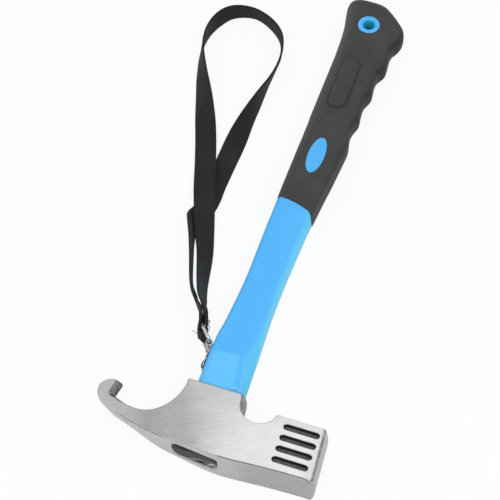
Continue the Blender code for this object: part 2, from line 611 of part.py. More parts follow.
def build_plate(parts, cutters, frame):
    """Strap plate: a flat strip whose end is rolled round the ring."""
    zinc = material("plated_steel", (0.62, 0.63, 0.66), 0.28, 1.0)
    inner, outer = plate_faces()
    axis = pivot()
    bm = bmesh.new()
    bmesh.ops.create_cube(bm, size=1)
    size = (inner - outer, axis.y - PLATE_START_Y, PLATE_WIDTH)
    middle = ((inner + outer) / 2, (axis.y + PLATE_START_Y) / 2, 0)
    bmesh.ops.transform(bm, matrix=Matrix.Translation(middle) @ Matrix.Diagonal((*size, 1)), verts=bm.verts)
    plate = mesh_object("strap_plate", bm, parts, frame, zinc)
    half = PLATE_WIDTH / 2
    roll = oval_outline(KNUCKLE_DIAMETER, KNUCKLE_DIAMETER, ROUND_STEPS)
    shorter = half - SEAT_GAP
    bm = prism(roll, -shorter, shorter, upright(axis.x, axis.y))
    cut(plate, mesh_object("knuckle_roll", bm, cutters, frame), "UNION")
    bar = RING_WIRE + 2 * SEAT_GAP
    reach = half + CUT_OVERRUN
    bm = prism(oval_outline(bar, bar, ROUND_STEPS // 2), -reach, reach, upright(axis.x, axis.y))
    cut(plate, mesh_object("knuckle_bore_cutter", bm, cutters, frame))
    hole = SCREW_SHANK_DIAMETER + 2 * SEAT_GAP
    bm = screw_prism(hole, -PLATE_THICKNESS - CUT_OVERRUN, CUT_OVERRUN)
    cut(plate, mesh_object("screw_hole_cutter", bm, cutters, frame))


def build_screw(parts, frame):
    """Pan head screw through the plate into the shaft, turned from one profile."""
    dark = material("screw_steel", (0.20, 0.20, 0.21), 0.4, 1.0)
    seat = SEAT_GAP + PLATE_THICKNESS + SEAT_GAP
    head_radius = SCREW_HEAD_DIAMETER / 2
    shank_radius = SCREW_SHANK_DIAMETER / 2
    profile = (
        (0, seat + SCREW_HEAD_HEIGHT),
        (head_radius * SCREW_CROWN_SHARE, seat + SCREW_HEAD_HEIGHT * SCREW_SHOULDER_SHARE),
        (head_radius, seat + SCREW_HEAD_HEIGHT * SCREW_RIM_SHARE),
        (head_radius, seat),
        (shank_radius, seat),
        (shank_radius, shank_radius - screw_depth()),
        (0, -screw_depth()),
    )
    bm = bmesh.new()
    verts = [bm.verts.new((radius, 0, height)) for radius, height in profile]
    edges = [bm.edges.new(pair) for pair in zip(verts, verts[1:])]
    bmesh.ops.spin(
        bm, geom=verts + edges, cent=(0, 0, 0), axis=(0, 0, 1),
        angle=math.tau, steps=ROUND_STEPS // 2, use_merge=True,
    )
    bmesh.ops.remove_doubles(bm, verts=bm.verts, dist=0.001 * MM)
    lay = Matrix.Translation((SHAFT_SIDE_X, SCREW_Y, 0)) @ Matrix.Rotation(-math.pi / 2, 4, "Y")
    bmesh.ops.transform(bm, matrix=lay, verts=bm.verts)
    mesh_object("plate_screw", bm, parts, frame, dark)


def tube_object(name, points, cyclic, radius, collection, parent, finish):
    """Round wire along points, as a curve with a bevel."""
    curve = bpy.data.curves.new(name, "CURVE")
    curve.dimensions = "3D"
    curve.bevel_depth = radius
    curve.bevel_resolution = 2
    curve.use_fill_caps = True
    spline = curve.splines.new("POLY")
    spline.points.add(len(points) - 1)
    for item, point in zip(spline.points, points):
        item.co = (*point, 1)
    spline.use_cyclic_u = cyclic
    curve.materials.append(finish)
    made = bpy.data.objects.new(name, curve)
    collection.objects.link(made)
    made.parent = parent
    return made


def build_ring(parts, frame):
    """Wire ring that turns in the knuckle. Its origin is on the pivot."""
    bright = material("ring_wire", (0.66, 0.67, 0.70), 0.2, 1.0)
    half = RING_HEIGHT / 2
    low, high = RING_CORNER, RING_LENGTH - RING_CORNER
    corners = ((high, half - RING_CORNER, 90), (low, half - RING_CORNER, 180))
    outline = []
    for x, z, end in corners:
        outline += arc((x, z), RING_CORNER, end - 90, end, RING_CORNER_STEPS)
    outline += [Vector((point.x, -point.y)) for point in reversed(outline)]
    points = [(-point.x, 0, point.y) for point in outline]
    ring = tube_object("strap_ring", points, True, RING_WIRE / 2, parts, frame, bright)
    ring.location = pivot()
    ring.rotation_euler.z = RING_REST_ANGLE - math.pi / 2


# Strap

def neck_point(layer, along):
    """Route point in the sewn neck: layer -1, 0 or 1 from the left, along the strap from its middle."""
    pitch = STRAP_THICKNESS + LAYER_GAP
    x = NECK_X + layer * pitch * math.cos(NECK_ANGLE) - along * math.sin(NECK_ANGLE)
    y = NECK_Y + layer * pitch * math.sin(NECK_ANGLE) + along * math.cos(NECK_ANGLE)
    return Vector((x, y, 1, 0))


def strap_route():
    """Tail, eye round the ring's bar, loop on the ground and end, as place, lift and lean."""
    bar = pivot() + RING_LENGTH * Vector((-math.sin(RING_REST_ANGLE), math.cos(RING_REST_ANGLE), 0))
    bar += EYE_SLACK * Vector((math.sin(EYE_ANGLE), -math.cos(EYE_ANGLE), 0))
    radius = RING_WIRE / 2 + SEAT_GAP + EYE_SLACK + STRAP_THICKNESS / 2
    reach = STITCH_LENGTH
    route = [neck_point(1, reach), neck_point(1, -reach)]
    for turn in EYE_TURNS:
        angle = math.pi / 2 + EYE_ANGLE - math.radians(turn)
        route.append(Vector((bar.x + radius * math.cos(angle), bar.y + radius * math.sin(angle), 1, 0)))
    route += [neck_point(-1, -reach), neck_point(-1, reach)]
    route += [Vector((x * MM, y * MM, lift, math.radians(lean))) for x, y, lift, lean in LOOP_ROUTE]
    finish = Vector((0, 0, 0, math.pi))
    return route + [neck_point(0, reach) + finish, neck_point(0, -reach / 2) + finish]


def smooth_route():
    """Points and lean along a smooth curve through the route, with the lower edge on the ground or lifted."""
    route = strap_route()
    padded = [route[0] * 2 - route[1], *route, route[-1] * 2 - route[-2]]
    dense = []
    for before, start, end, after in zip(padded, padded[1:], padded[2:], padded[3:]):
        for step in range(STRAP_STEPS):
            t = step / STRAP_STEPS
            dense.append(0.5 * (
                2 * start + (end - before) * t
                + (2 * before - 5 * start + 4 * end - after) * t ** 2
                + (3 * start - before - 3 * end + after) * t ** 3
            ))
    dense.append(route[-1])
    points = []
    for x, y, lift, lean in dense:
        half_height = STRAP_WIDTH / 2 * abs(math.cos(lean)) + STRAP_THICKNESS / 2 * abs(math.sin(lean))
        lying = half_height + SEAT_GAP - HEAD_THICKNESS / 2
        points.append(Vector((x, y, lying * (1 - max(lift, 0)))))
    return points, [point[3] for point in dense]


def ribbon_rings(points, leans):
    """Six-sided sections of the webbing, each square to the route and leaned over by its angle."""
    half_width = STRAP_WIDTH / 2
    half_thickness = STRAP_THICKNESS / 2
    flat = half_width - half_thickness
    section = (
        (flat, half_thickness), (half_width, 0), (flat, -half_thickness),
        (-flat, -half_thickness), (-half_width, 0), (-flat, half_thickness),
    )
    rings = []
    for index, (point, lean) in enumerate(zip(points, leans)):
        ahead = points[min(index + 1, len(points) - 1)]
        behind = points[max(index - 1, 0)]
        run = (ahead - behind).normalized()
        left = Vector((0, 0, 1)).cross(run).normalized()
        up = run.cross(left)
        across = up * math.cos(lean) + left * math.sin(lean)
        out = run.cross(across)
        rings.append([point + across * width + out * depth for width, depth in section])
    return rings


def build_strap(parts, cutters, frame):
    """Wrist strap: one length of webbing, and the stitching that closes its eye."""
    webbing = material("strap_webbing", (0.028, 0.029, 0.029), 0.85)
    thread = material("strap_thread", (0.02, 0.02, 0.021), 0.7)
    points, leans = smooth_route()
    mesh_object("strap_webbing", loft(ribbon_rings(points, leans)), parts, frame, webbing)

    inner_width = 3 * STRAP_THICKNESS + 2 * LAYER_GAP + 2 * SEAT_GAP
    inner_height = STRAP_WIDTH + 2 * SEAT_GAP
    lay = Matrix.Translation((NECK_X, NECK_Y, 0)) @ Matrix.Rotation(NECK_ANGLE, 4, "Z")
    along = lay @ along_handle(0)
    half = STITCH_LENGTH / 2
    outer = rectangle_outline(inner_width + 2 * STITCH_WALL, inner_height + 2 * STITCH_WALL)
    stitching = mesh_object("strap_stitching", prism(outer, -half, half, along), parts, frame, thread)
    reach = half + CUT_OVERRUN
    bm = prism(rectangle_outline(inner_width, inner_height), -reach, reach, along)
    cut(stitching, mesh_object("stitching_cutter", bm, cutters, frame))


def main():
    for old in list(bpy.data.objects):
        bpy.data.objects.remove(old, do_unlink=True)
    parts = bpy.data.collections.new("peg_hammer")
    cutters = bpy.data.collections.new("cutters")
    for collection in (parts, cutters):
        bpy.context.scene.collection.children.link(collection)
    frame = bpy.data.objects.new("hammer_frame", None)
    parts.objects.link(frame)
    strike_end = STRIKE_REACH + STRIKE_SLANT * (CROWN_DEPTH - BLOCK_SHOULDER_DEPTH - 2 * STRIKE_BEVEL) / 2
    frame.location = (
        (HOOK_REACH - strike_end) / 2,
        (CROWN_DEPTH - BUTT_Y) / 2,
        HEAD_THICKNESS / 2,
    )
    build_head(parts, cutters, frame)
    build_core(parts, frame)
    build_resin(parts, cutters, frame)
    build_sleeve(parts, cutters, frame)
    build_grip(parts, cutters, frame)
    build_plate(parts, cutters, frame)
    build_screw(parts, frame)
    build_ring(parts, frame)
    build_strap(parts, cutters, frame)


main()
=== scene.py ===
"""Camping hammer with a peg hook, lying on its side with its wrist strap spread beside it.

Every piece is drawn about the middle of the head's neck, in the CAD's directions: X along the head
towards the striking face, Y along the handle towards the butt and Z up through the head's side.
"""

import math

import bmesh
import bpy
from bpy.props import FloatProperty, FloatVectorProperty, PointerProperty
from mathutils import Matrix, Vector


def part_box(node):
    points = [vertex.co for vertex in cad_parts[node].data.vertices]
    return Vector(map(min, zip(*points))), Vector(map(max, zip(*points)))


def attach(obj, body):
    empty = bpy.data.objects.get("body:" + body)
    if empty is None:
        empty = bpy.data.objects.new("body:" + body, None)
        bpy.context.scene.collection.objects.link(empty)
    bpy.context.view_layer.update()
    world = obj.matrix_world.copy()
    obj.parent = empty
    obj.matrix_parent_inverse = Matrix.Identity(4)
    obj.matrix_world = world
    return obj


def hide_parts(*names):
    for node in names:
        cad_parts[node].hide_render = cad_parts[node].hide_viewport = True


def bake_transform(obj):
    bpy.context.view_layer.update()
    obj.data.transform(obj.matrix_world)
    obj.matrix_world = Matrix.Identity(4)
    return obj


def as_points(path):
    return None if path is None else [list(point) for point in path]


bl_info = {
    "name": "Camping Hammer",
    "version": (1, 0, 0),
    "blender": (4, 5, 0),
    "location": "View3D > Sidebar > Hammer",
    "description": "Builds a camping hammer, its wrist strap and a white studio in the packed frame",
    "category": "Object",
}

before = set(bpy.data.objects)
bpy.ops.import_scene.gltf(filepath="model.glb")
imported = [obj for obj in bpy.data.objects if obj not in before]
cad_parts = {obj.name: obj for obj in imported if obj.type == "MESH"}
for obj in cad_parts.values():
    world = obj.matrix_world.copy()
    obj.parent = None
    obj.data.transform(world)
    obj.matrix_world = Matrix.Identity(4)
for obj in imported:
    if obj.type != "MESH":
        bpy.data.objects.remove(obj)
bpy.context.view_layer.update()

MM = 0.001
MERGE = 0.001 * MM  # points closer than this become one
HEAD_LOW, HEAD_HIGH = (Vector(corner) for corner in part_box("head"))
GRIP_END_Y = Vector(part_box("grip")[1]).y

# Where the drawing's origin is in the frame
HOOK_REACH = 58.2 * MM
NECK = Vector((HEAD_LOW.x + HOOK_REACH, HEAD_HIGH.y, (HEAD_LOW.z + HEAD_HIGH.z) / 2))

# Head
HALF_HEAD = (HEAD_HIGH.z - HEAD_LOW.z) / 2
CROWN_DEPTH = HEAD_HIGH.y - HEAD_LOW.y
HALF_HOOK = 2.8 * MM
TAPER_START_CROWN_X = 14 * MM
TAPER_START_NECK_X = -12 * MM
TAPER_END_X = -40 * MM
TAPER_STEPS = 22
TAPER_SOFTNESS = 0.6
STRIKE_REACH = 61.9 * MM
STRIKE_SLANT = 0.077
STRIKE_EDGE_X = 50 * MM  # the striking face's own edges are beyond here
STRIKE_CROWN = 1.4 * MM  # how far the striking face stands out at mid thickness
NECK_LEFT = 14.1 * MM
NECK_RIGHT = 14 * MM
NECK_BULGE = 2.8 * MM
NECK_LEFT_BULGE = 1.0 * MM
NECK_BULGE_DEPTH = 12 * MM
THROAT_RADIUS = 19.5 * MM
THROAT_DEPTH = 21.2 * MM
THROAT_BED_RADIUS = 61 * MM
NOTCH_RADIUS = 10 * MM
NOTCH_CENTRE_DEPTH = 3.3 * MM
NOTCH_SHIFT = 1.0 * MM  # how far the notch's round starts from the neck's edge
BLOCK_SHOULDER_DEPTH = 5.5 * MM
CROWN_FLAT_END_X = 12 * MM
CROWN_RADIUS = 171 * MM
HOOK_OUTER_RADIUS = 7.5 * MM
HOOK_FINGER_WIDTH = 6.2 * MM
HOOK_TIP_DROP = 1.4 * MM
HOOK_EDGE = 4.0 * MM  # how far the hook's edge stands out at mid thickness
BED_EDGE = 0.65  # of that, along the throat's bed
HOOK_CORNER = 1.6 * MM
HOOK_FADE = 20 * MM  # how far the hook's bevel and rounding reach along it
HOOK_WEAR = 1.5 * MM  # rounding of the hook's back
WEAR_FADE = 9 * MM
BEVEL_START_X = -45 * MM  # the hook's edges are rounded by hand beyond here
SHARP_SWELL_X = -30 * MM  # beyond here the swell at mid thickness comes to an edge
CROWN_SAG = 1.1 * MM  # how far the crown lies below its arc beside the eye
CROWN_SAG_X = 16 * MM
CROWN_SAG_REACH = 14 * MM
ARM_FULLNESS = 1.1 * MM  # extra half thickness where the hook's arm leaves the eye
ARM_X = -20 * MM
ARM_REACH = 11 * MM
ARM_SAG = 0.55  # of that fullness, by which the crown sags under the arm
FACE_RISE = 0.9 * MM  # how far the crown rises again at the striking face
FACE_RISE_START_X = 24 * MM
FACE_RISE_END_X = 62 * MM
GROOVE_COUNT = 4
GROOVE_PITCH = 6.28 * MM
GROOVE_FIRST_DEPTH = 10.6 * MM
GROOVE_TO_FACE = 3.2 * MM
GROOVE_FLARE = 0.22 * MM
EYE_CENTRE_X = 1.2 * MM
EYE_LENGTH = 25 * MM
EYE_WIDTH = 10.6 * MM
EYE_RECESS = 4.5 * MM
EYE_FLARE = 0.45 * MM
EYE_FACE_CORNER = 2.6 * MM
EYE_HOOK_CORNER = 4.4 * MM

# Shaft: distance from the neck's top, left edge, right edge, half thickness and the width of the
# chamfer along the right edge
SHAFT_STATIONS = (
    (0.3, -9.6, 13.2, 9.0, 1.6),
    (1.2, -10.2, 13.8, 9.35, 1.8),
    (2.5, -10.4, 13.9, 9.45, 2.0),
    (8, -10.4, 14.0, 9.7, 3.2),
    (14, -10.4, 14.0, 9.97, 4.4),
    (19, -10.4, 13.9, 10.18, 5.2),
    (21, -10.4, 13.85, 10.2, 5.2),
    (23, -10.4, 13.6, 10.1, 4.3),
    (27, -10.4, 13.25, 9.8, 2.9),
    (32, -10.2, 12.8, 9.5, 1.8),
    (37, -9.5, 12.4, 9.4, 1.4),
    (46, -8.8, 11.9, 9.4, 1.2),
    (56, -8.2, 11.4, 9.3, 1.2),
    (68, -7.7, 11.3, 9.3, 1.2),
    (82, -7.5, 11.4, 9.3, 1.2),
    (96, -7.5, 11.8, 9.3, 1.2),
    (108, -7.5, 12.2, 9.3, 1.3),
    (119.5, -7.5, 12.7, 9.3, 1.4),
    (130, -6.9, 12.5, 8.9, 1.4),
)
LEFT_CHAMFER = 1.7 * MM
LEFT_DRAFT = 0.6 * MM  # how far the left side leans in towards each face, next to the plate
FACET_END = 20.3 * MM  # where the facet next to the neck ends, and with it the painted highlight on it
FACET_LEAN = 0.094
RIGHT_CHAMFER_DROP = 1.5  # of the chamfer's width
JOIN_Y = 121.0 * MM  # the grip's front edge, where it is farthest from the neck
JOIN_PEAK_X = -5 * MM
JOIN_SWEEP = 16.5  # per metre, how fast the front edge falls away on either side of that
JOIN_RETURN = 4 * MM  # how far the front edge draws back on the right side's lower half
JOIN_FADE = 20 * MM
GRIP_LIP = 0.5 * MM
GRIP_SIDES = 168
GRIP_SQUARENESS = 2.9
FRONT_SQUARENESS = 7.0  # of the grip's front edge, which closes round the boxy shaft
# The turned-in front lip, as millimetres behind the front edge and how far the rubber stands out there
LIP_ROWS = ((0.25, -0.9), (0.0, -0.25), (0.05, 0.1), (0.25, 0.33), (0.6, 0.46), (1.2, 0.5))

# Grip: distance from the neck's top, left edge, right edge and half thickness
GRIP_STATIONS = (
    (120, -7.9, 13.2, 9.8),
    (128, -8.05, 13.85, 9.9),
    (136, -8.1, 14.6, 10),
    (146, -8.2, 15.7, 10),
    (157, -8.4, 16.65, 10),
    (164, -8.45, 17.3, 10),
    (168.5, -8.55, 17.5, 10),
    (173, -8.6, 16.6, 10),
    (177.5, -8.75, 15.9, 10),
    (181.4, -8.9, 16.2, 10),
    (184.5, -8.9, 16.9, 10),
    (187.5, -8.9, 17.8, 10),
    (192, -8.9, 17.3, 10),
    (197.5, -8.9, 16.7, 10),
    (201.7, -8.9, 17.1, 10),
    (204.6, -8.9, 18.2, 10),
    (207.5, -8.9, 19.0, 10),
    (212, -8.9, 18.5, 10),
    (216, -8.9, 18.1, 10),
    (220.6, -8.9, 18.5, 10),
    (224.1, -8.9, 20.3, 10),
    (226.5, -8.9, 21.3, 10),
    (232, -9.1, 21.0, 10),
    (237, -9.3, 20.6, 10),
    (241.3, -9.55, 21.2, 10),
    (244.7, -9.85, 23.0, 10),
    (248, -10.2, 24.1, 10),
    (252, -10.9, 24.0, 10),
    (255.5, -11.6, 22.8, 10),
    (258.5, -12.1, 20.2, 10),
    (261.5, -12.5, 17.1, 9.8),
    (264.5, -12.3, 13.6, 9.2),
    (267, -11.0, 10.8, 7.6),
    (268.3, -8.5, 7.4, 5.2),
)
OVAL_MIDDLE = Vector((3.8, 152.9)) * MM
OVAL_LENGTH = 26.2 * MM
OVAL_WIDTH = 9.9 * MM
PAD_MIDDLE = Vector((3.4, 205.0)) * MM
PAD_LENGTH = 34.2 * MM
PAD_WIDTH = 9.4 * MM
HANG_MIDDLE = Vector((3.95, 248.7)) * MM
HANG_BOSS_DIAMETER = 12.4 * MM
HANG_HOLE_DIAMETER = 6.6 * MM
HANG_HALF_HEIGHT = 10.05 * MM

# Strap fitting
SHAFT_SIDE_X = -10.4 * MM
SEAT_GAP = 0.3 * MM
PLATE_WIDTH = 9.6 * MM
PLATE_FOOT_WIDTH = 12 * MM
PLATE_THICKNESS = 0.8 * MM
PLATE_START_Y = 11 * MM
PLATE_FOOT_END_Y = PLATE_START_Y + 8.5 * MM
PLATE_NECK_START_Y = PLATE_START_Y + 10.5 * MM
PIVOT = Vector((-12.7, 26.2, 0)) * MM
KNUCKLE_TURN = math.radians(318)
SCREW_Y = 15.2 * MM
SCREW_HEAD_DIAMETER = 4.6 * MM
SCREW_HEAD_HEIGHT = 1.3 * MM
RING_HEIGHT = 15.4 * MM
RING_LENGTH = 8.8 * MM
RING_CORNER = 2.2 * MM
RING_REST_ANGLE = math.radians(43)

# Strap route, as in the CAD: along the head and along the handle in millimetres, how far the webbing
# is lifted from the ground (0) to the ring's middle (1), and the degrees that it leans over
STRAP_WIDTH = 12 * MM
STRAP_THICKNESS = 1.1 * MM
LAYER_GAP = 0.35 * MM
EYE_SLACK = 0.6 * MM
EYE_ANGLE = math.radians(35)
EYE_TURNS = (75, 125, 180, 235, 285)
SEAM_MIDDLE = Vector((-21.4, 41.6)) * MM
SEAM_ANGLE = math.radians(16)
SEAM_LENGTH = 3 * MM
STITCH_COUNT = 9
LOOP_ROUTE = (
    (-29.0, 51.0, 0.45, 10),
    (-32.3, 56.8, 0.18, 14),
    (-36.7, 64.6, 0.04, 5),
    (-41.3, 77.4, 0, 6),
    (-45.2, 88.5, 0, 11),
    (-47.4, 95.5, 0, 22),
    (-48.0, 102.0, 0, 54),
    (-46.8, 109.0, 0, 80),
    (-45.6, 118.0, 0, 88),
    (-45.8, 130.0, 0, 90),
    (-45.1, 151.0, 0, 82),
    (-43.4, 172.0, 0, 38),
    (-41.4, 189.0, 0, 12),
    (-39.8, 203.0, 0, -8),
    (-39.2, 214.3, 0, -12),
    (-39.9, 224.7, 0, -6),
    (-43.6, 234.6, 0, 0),
    (-52.0, 242.2, 0, 4),
    (-63.0, 246.4, 0, 8),
    (-74.2, 244.1, 0, 0),
    (-80.9, 236.9, 0, -8),
    (-84.4, 225.4, 0, -2),
    (-83.4, 212.0, 0, 8),
    (-78.0, 196.5, 0, 27),
    (-70.9, 180.5, 0.02, 52),
    (-62.8, 160.4, 0.16, 86),
    (-56.0, 141.0, 0.30, 94),
    (-50.6, 124.0, 0.30, 98),
    (-45.2, 109.0, 0.36, 106),
    (-40.5, 96.0, 0.42, 116),
    (-35.3, 82.0, 0.20, 135),
    (-30.5, 64.6, 0.10, 153),
    (-26.6, 53.6, 0.50, 160),
)
STRAP_STEP = 0.3 * MM
EYE_END = 22 * MM  # along the strap, past its eye
EYE_BUNCH = 0.36  # of the webbing's width, drawn up from below where it goes round the ring
# Cut thread ends at the seam, as places from the neck in millimetres
LOOSE_THREADS = (
    ((-18.3, 38.2, 5.2), (-17.1, 38.0, 5.6), (-16.2, 36.8, 5.8), (-16.8, 35.4, 5.6), (-15.7, 34.6, 5.6),
     (-15.2, 33.0, 5.4), (-15.4, 31.8, 5.1)),
    ((-19.8, 30.0, 2.6), (-21.4, 30.1, 3.3), (-22.6, 30.5, 3.3), (-23.9, 31.1, 3.0)),
)
# A bead of resin squeezed out between the neck and the shaft, in millimetres
RESIN_BEAD = ((7.4, 0.6, 9.3), (8.4, 1.6, 9.5), (9.6, 2.5, 9.55), (11.2, 2.4, 9.5), (12.4, 1.2, 8.9))

# Stage
FLOOR_GLOW = 0.9  # how much of the floor's white is its own
FLOOR_MIRRORED_SHARE = 0.5  # the same, where the metal mirrors it
FLOOR_MIRRORED_GLOW = 0.72  # how bright that white looks in the metal
SKY_TOP = 0.93  # how bright the sky overhead looks in the metal
FRAME_WIDTH = 36  # of the camera's sensor, in millimetres
FLOOR_REACH = 4  # half the floor's width in metres

# The head's finishes, in the order of its material slots
STEEL_SKIN, GROOVE_SKIN, SKIN_AND_EDGE_SHADE, EYE_SKIN = range(4)


class HammerHeadSettings(bpy.types.PropertyGroup):
    """Sizes and colours of the forged head."""

    edge_radius: FloatProperty(
        name="Edge Rounding", description="Rounding of the head's ground edges",
        default=0.55 * MM, min=0.1 * MM, max=1.2 * MM, unit="LENGTH", precision=5)
    face_radius: FloatProperty(
        name="Striking Face Rounding", description="Rounding of the edges round the striking face",
        default=1.2 * MM, min=0.3 * MM, max=3 * MM, unit="LENGTH", precision=5)
    groove_length: FloatProperty(
        name="Groove Length", description="Length of the painted grooves on the block's sides",
        default=18.8 * MM, min=8 * MM, max=20 * MM, unit="LENGTH", precision=5)
    groove_width: FloatProperty(
        name="Groove Width", description="Width of the painted grooves",
        default=3.3 * MM, min=1 * MM, max=4.5 * MM, unit="LENGTH", precision=5)
    groove_depth: FloatProperty(
        name="Groove Depth", description="Depth of the painted grooves",
        default=3 * MM, min=0.3 * MM, max=4 * MM, unit="LENGTH", precision=5)
    steel: FloatVectorProperty(
        name="Steel", description="Colour of the satin ground steel",
        default=(0.56, 0.565, 0.575), min=0, max=1, subtype="COLOR")
    groove_paint: FloatVectorProperty(
        name="Groove Paint", description="Colour of the paint in the grooves",
        default=(0.015, 0.0185, 0.022), min=0, max=1, subtype="COLOR")
    resin: FloatVectorProperty(
        name="Bedding Resin", description="Colour of the resin that closes the eye",
        default=(0.13, 0.122, 0.11), min=0, max=1, subtype="COLOR")


class HammerHandleSettings(bpy.types.PropertyGroup):
    """Sizes and colours of the two-shot handle."""

    corner_radius: FloatProperty(
        name="Shaft Corner", description="Rounding of the bare shaft's corners",
        default=0.7 * MM, min=0.2 * MM, max=1.6 * MM, unit="LENGTH", precision=5)
    pad_groove: FloatProperty(
        name="Pad Groove", description="Depth of the moulded groove round the grip's pad",
        default=1.0 * MM, min=0, max=1.2 * MM, unit="LENGTH", precision=5)
    blue: FloatVectorProperty(
        name="Shaft Plastic", description="Colour of the moulded shaft",
        default=(0.1, 0.49, 1.0), min=0, max=1, subtype="COLOR")
    # Painted highlight: the paler blue of the facet next to the neck and of the right chamfers
    facet_highlight_blue: FloatVectorProperty(
        name="Facet Plastic", description="Colour of the shaft's highlit facets",
        default=(0.145, 0.57, 1.0), min=0, max=1, subtype="COLOR")
    # Painted highlight: the lighter blue of the shaft's narrow sides
    side_highlight_blue: FloatVectorProperty(
        name="Side Plastic", description="Colour of the shaft's highlit narrow sides",
        default=(0.08, 0.65, 1.0), min=0, max=1, subtype="COLOR")
    rubber: FloatVectorProperty(
        name="Grip Rubber", description="Colour of the rubber grip",
        default=(0.046, 0.0467, 0.0472), min=0, max=1, subtype="COLOR")


class HammerStrapSettings(bpy.types.PropertyGroup):
    """Sizes and colours of the strap and its fitting."""

    rib_pitch: FloatProperty(
        name="Rib Pitch", description="Distance between two ribs of the webbing",
        default=1.5 * MM, min=0.6 * MM, max=3 * MM, unit="LENGTH", precision=5)
    rib_height: FloatProperty(
        name="Rib Height", description="How far a rib stands out of the webbing",
        default=0.13 * MM, min=0, max=0.2 * MM, unit="LENGTH", precision=5)
    thread_diameter: FloatProperty(
        name="Thread", description="Diameter of the sewing thread",
        default=0.42 * MM, min=0.2 * MM, max=0.8 * MM, unit="LENGTH", precision=5)
    wire_diameter: FloatProperty(
        name="Ring Wire", description="Diameter of the ring's wire",
        default=1.8 * MM, min=1 * MM, max=2 * MM, unit="LENGTH", precision=5)
    webbing: FloatVectorProperty(
        name="Webbing", description="Colour of the woven strap",
        default=(0.0145, 0.0147, 0.015), min=0, max=1, subtype="COLOR")
    plating: FloatVectorProperty(
        name="Plating", description="Colour of the plated plate and ring",
        default=(0.66, 0.67, 0.69), min=0, max=1, subtype="COLOR")


class HammerStageSettings(bpy.types.PropertyGroup):
    """Camera and light of the white studio."""

    camera_place: FloatVectorProperty(
        name="Camera", description="Where the camera stands",
        default=(0.1827, -0.6003, 0.9439), subtype="TRANSLATION", unit="LENGTH")
    camera_aim: FloatVectorProperty(
        name="Aim", description="The point in the middle of the picture",
        default=(-0.01465, -0.02679, 0.0105), subtype="TRANSLATION", unit="LENGTH")
    lens: FloatProperty(
        name="Lens", description="Focal length on a 36 mm frame",
        default=150.8, min=20, max=400, unit="CAMERA")
    sky: FloatProperty(
        name="Sky", description="Strength of the light from all round",
        default=0.67, min=0, max=2)
    horizon: FloatProperty(
        name="Horizon", description="How bright the sky near the ground looks in the metal",
        default=0.42, min=0, max=1)
    key_power: FloatProperty(
        name="Key Light", description="Power of the large light at the striking side",
        default=7.2, min=0, max=50, unit="POWER")
    side_power: FloatProperty(
        name="Fill Light", description="Power of the light at the hook's side",
        default=1.0, min=0, max=50, unit="POWER")
    block_power: FloatProperty(
        name="Block Light", description="Power of the small light that the striking block mirrors",
        default=0.16, min=0, max=50, unit="POWER")
    floor: FloatVectorProperty(
        name="Floor", description="Colour of the floor",
        default=(0.95, 0.95, 0.95), min=0, max=1, subtype="COLOR")


class Wire:
    """A number on a shader socket. Arithmetic on it adds Math nodes."""

    def __init__(self, tree, socket):
        self.tree = tree
        self.socket = socket

    def joined(self, operation, first, second):
        """Math node on two numbers or wires."""
        made = self.tree.nodes.new("ShaderNodeMath")
        made.operation = operation
        for socket, value in zip(made.inputs, (first, second)):
            if isinstance(value, Wire):
                self.tree.links.new(value.socket, socket)
            else:
                socket.default_value = value
        return Wire(self.tree, made.outputs[0])

    def __add__(self, other):
        return self.joined("ADD", self, other)

    def __radd__(self, other):
        return self.joined("ADD", other, self)

    def __sub__(self, other):
        return self.joined("SUBTRACT", self, other)

    def __rsub__(self, other):
        return self.joined("SUBTRACT", other, self)

    def __mul__(self, other):
        return self.joined("MULTIPLY", self, other)

    def __rmul__(self, other):
        return self.joined("MULTIPLY", other, self)

    def at_least(self, other):
        """The larger of the two."""
        return self.joined("MAXIMUM", self, other)


class NodeBench:
    """Adds nodes to one tree."""

    def __init__(self, tree):
        self.tree = tree

    def node(self, kind, settings, sockets, output=0):
        """Node of a type, its settings first, then its sockets' values or links."""
        made = self.tree.nodes.new(kind)
        for name, value in settings.items():
            setattr(made, name, value)
        for key, value in sockets.items():
            if isinstance(value, Wire):
                self.tree.links.new(value.socket, made.inputs[key])
            else:
                made.inputs[key].default_value = value
        return Wire(self.tree, made.outputs[output])

    def mixed(self, factor, first, second):
        """Colour between two colours."""
        first, second = (
            colour if isinstance(colour, Wire) else (*colour[:3], 1.0) for colour in (first, second)
        )
        return self.node(
            "ShaderNodeMix", {"data_type": "RGBA"}, {0: factor, 6: first, 7: second}, 2)

    def eased(self, value, low, high):
        """0 below low, 1 above high and a smooth step between."""
        return self.node(
            "ShaderNodeMapRange", {"interpolation_type": "SMOOTHSTEP"},
            {"Value": value, "From Min": low, "From Max": high})

    def split(self, vector):
        """The three numbers of a vector."""
        made = self.node("ShaderNodeSeparateXYZ", {}, {"Vector": vector})
        return [Wire(self.tree, socket) for socket in made.socket.node.outputs]

    def unsigned(self, value):
        """A number without its sign."""
        return self.node("ShaderNodeMath", {"operation": "ABSOLUTE"}, {0: value})


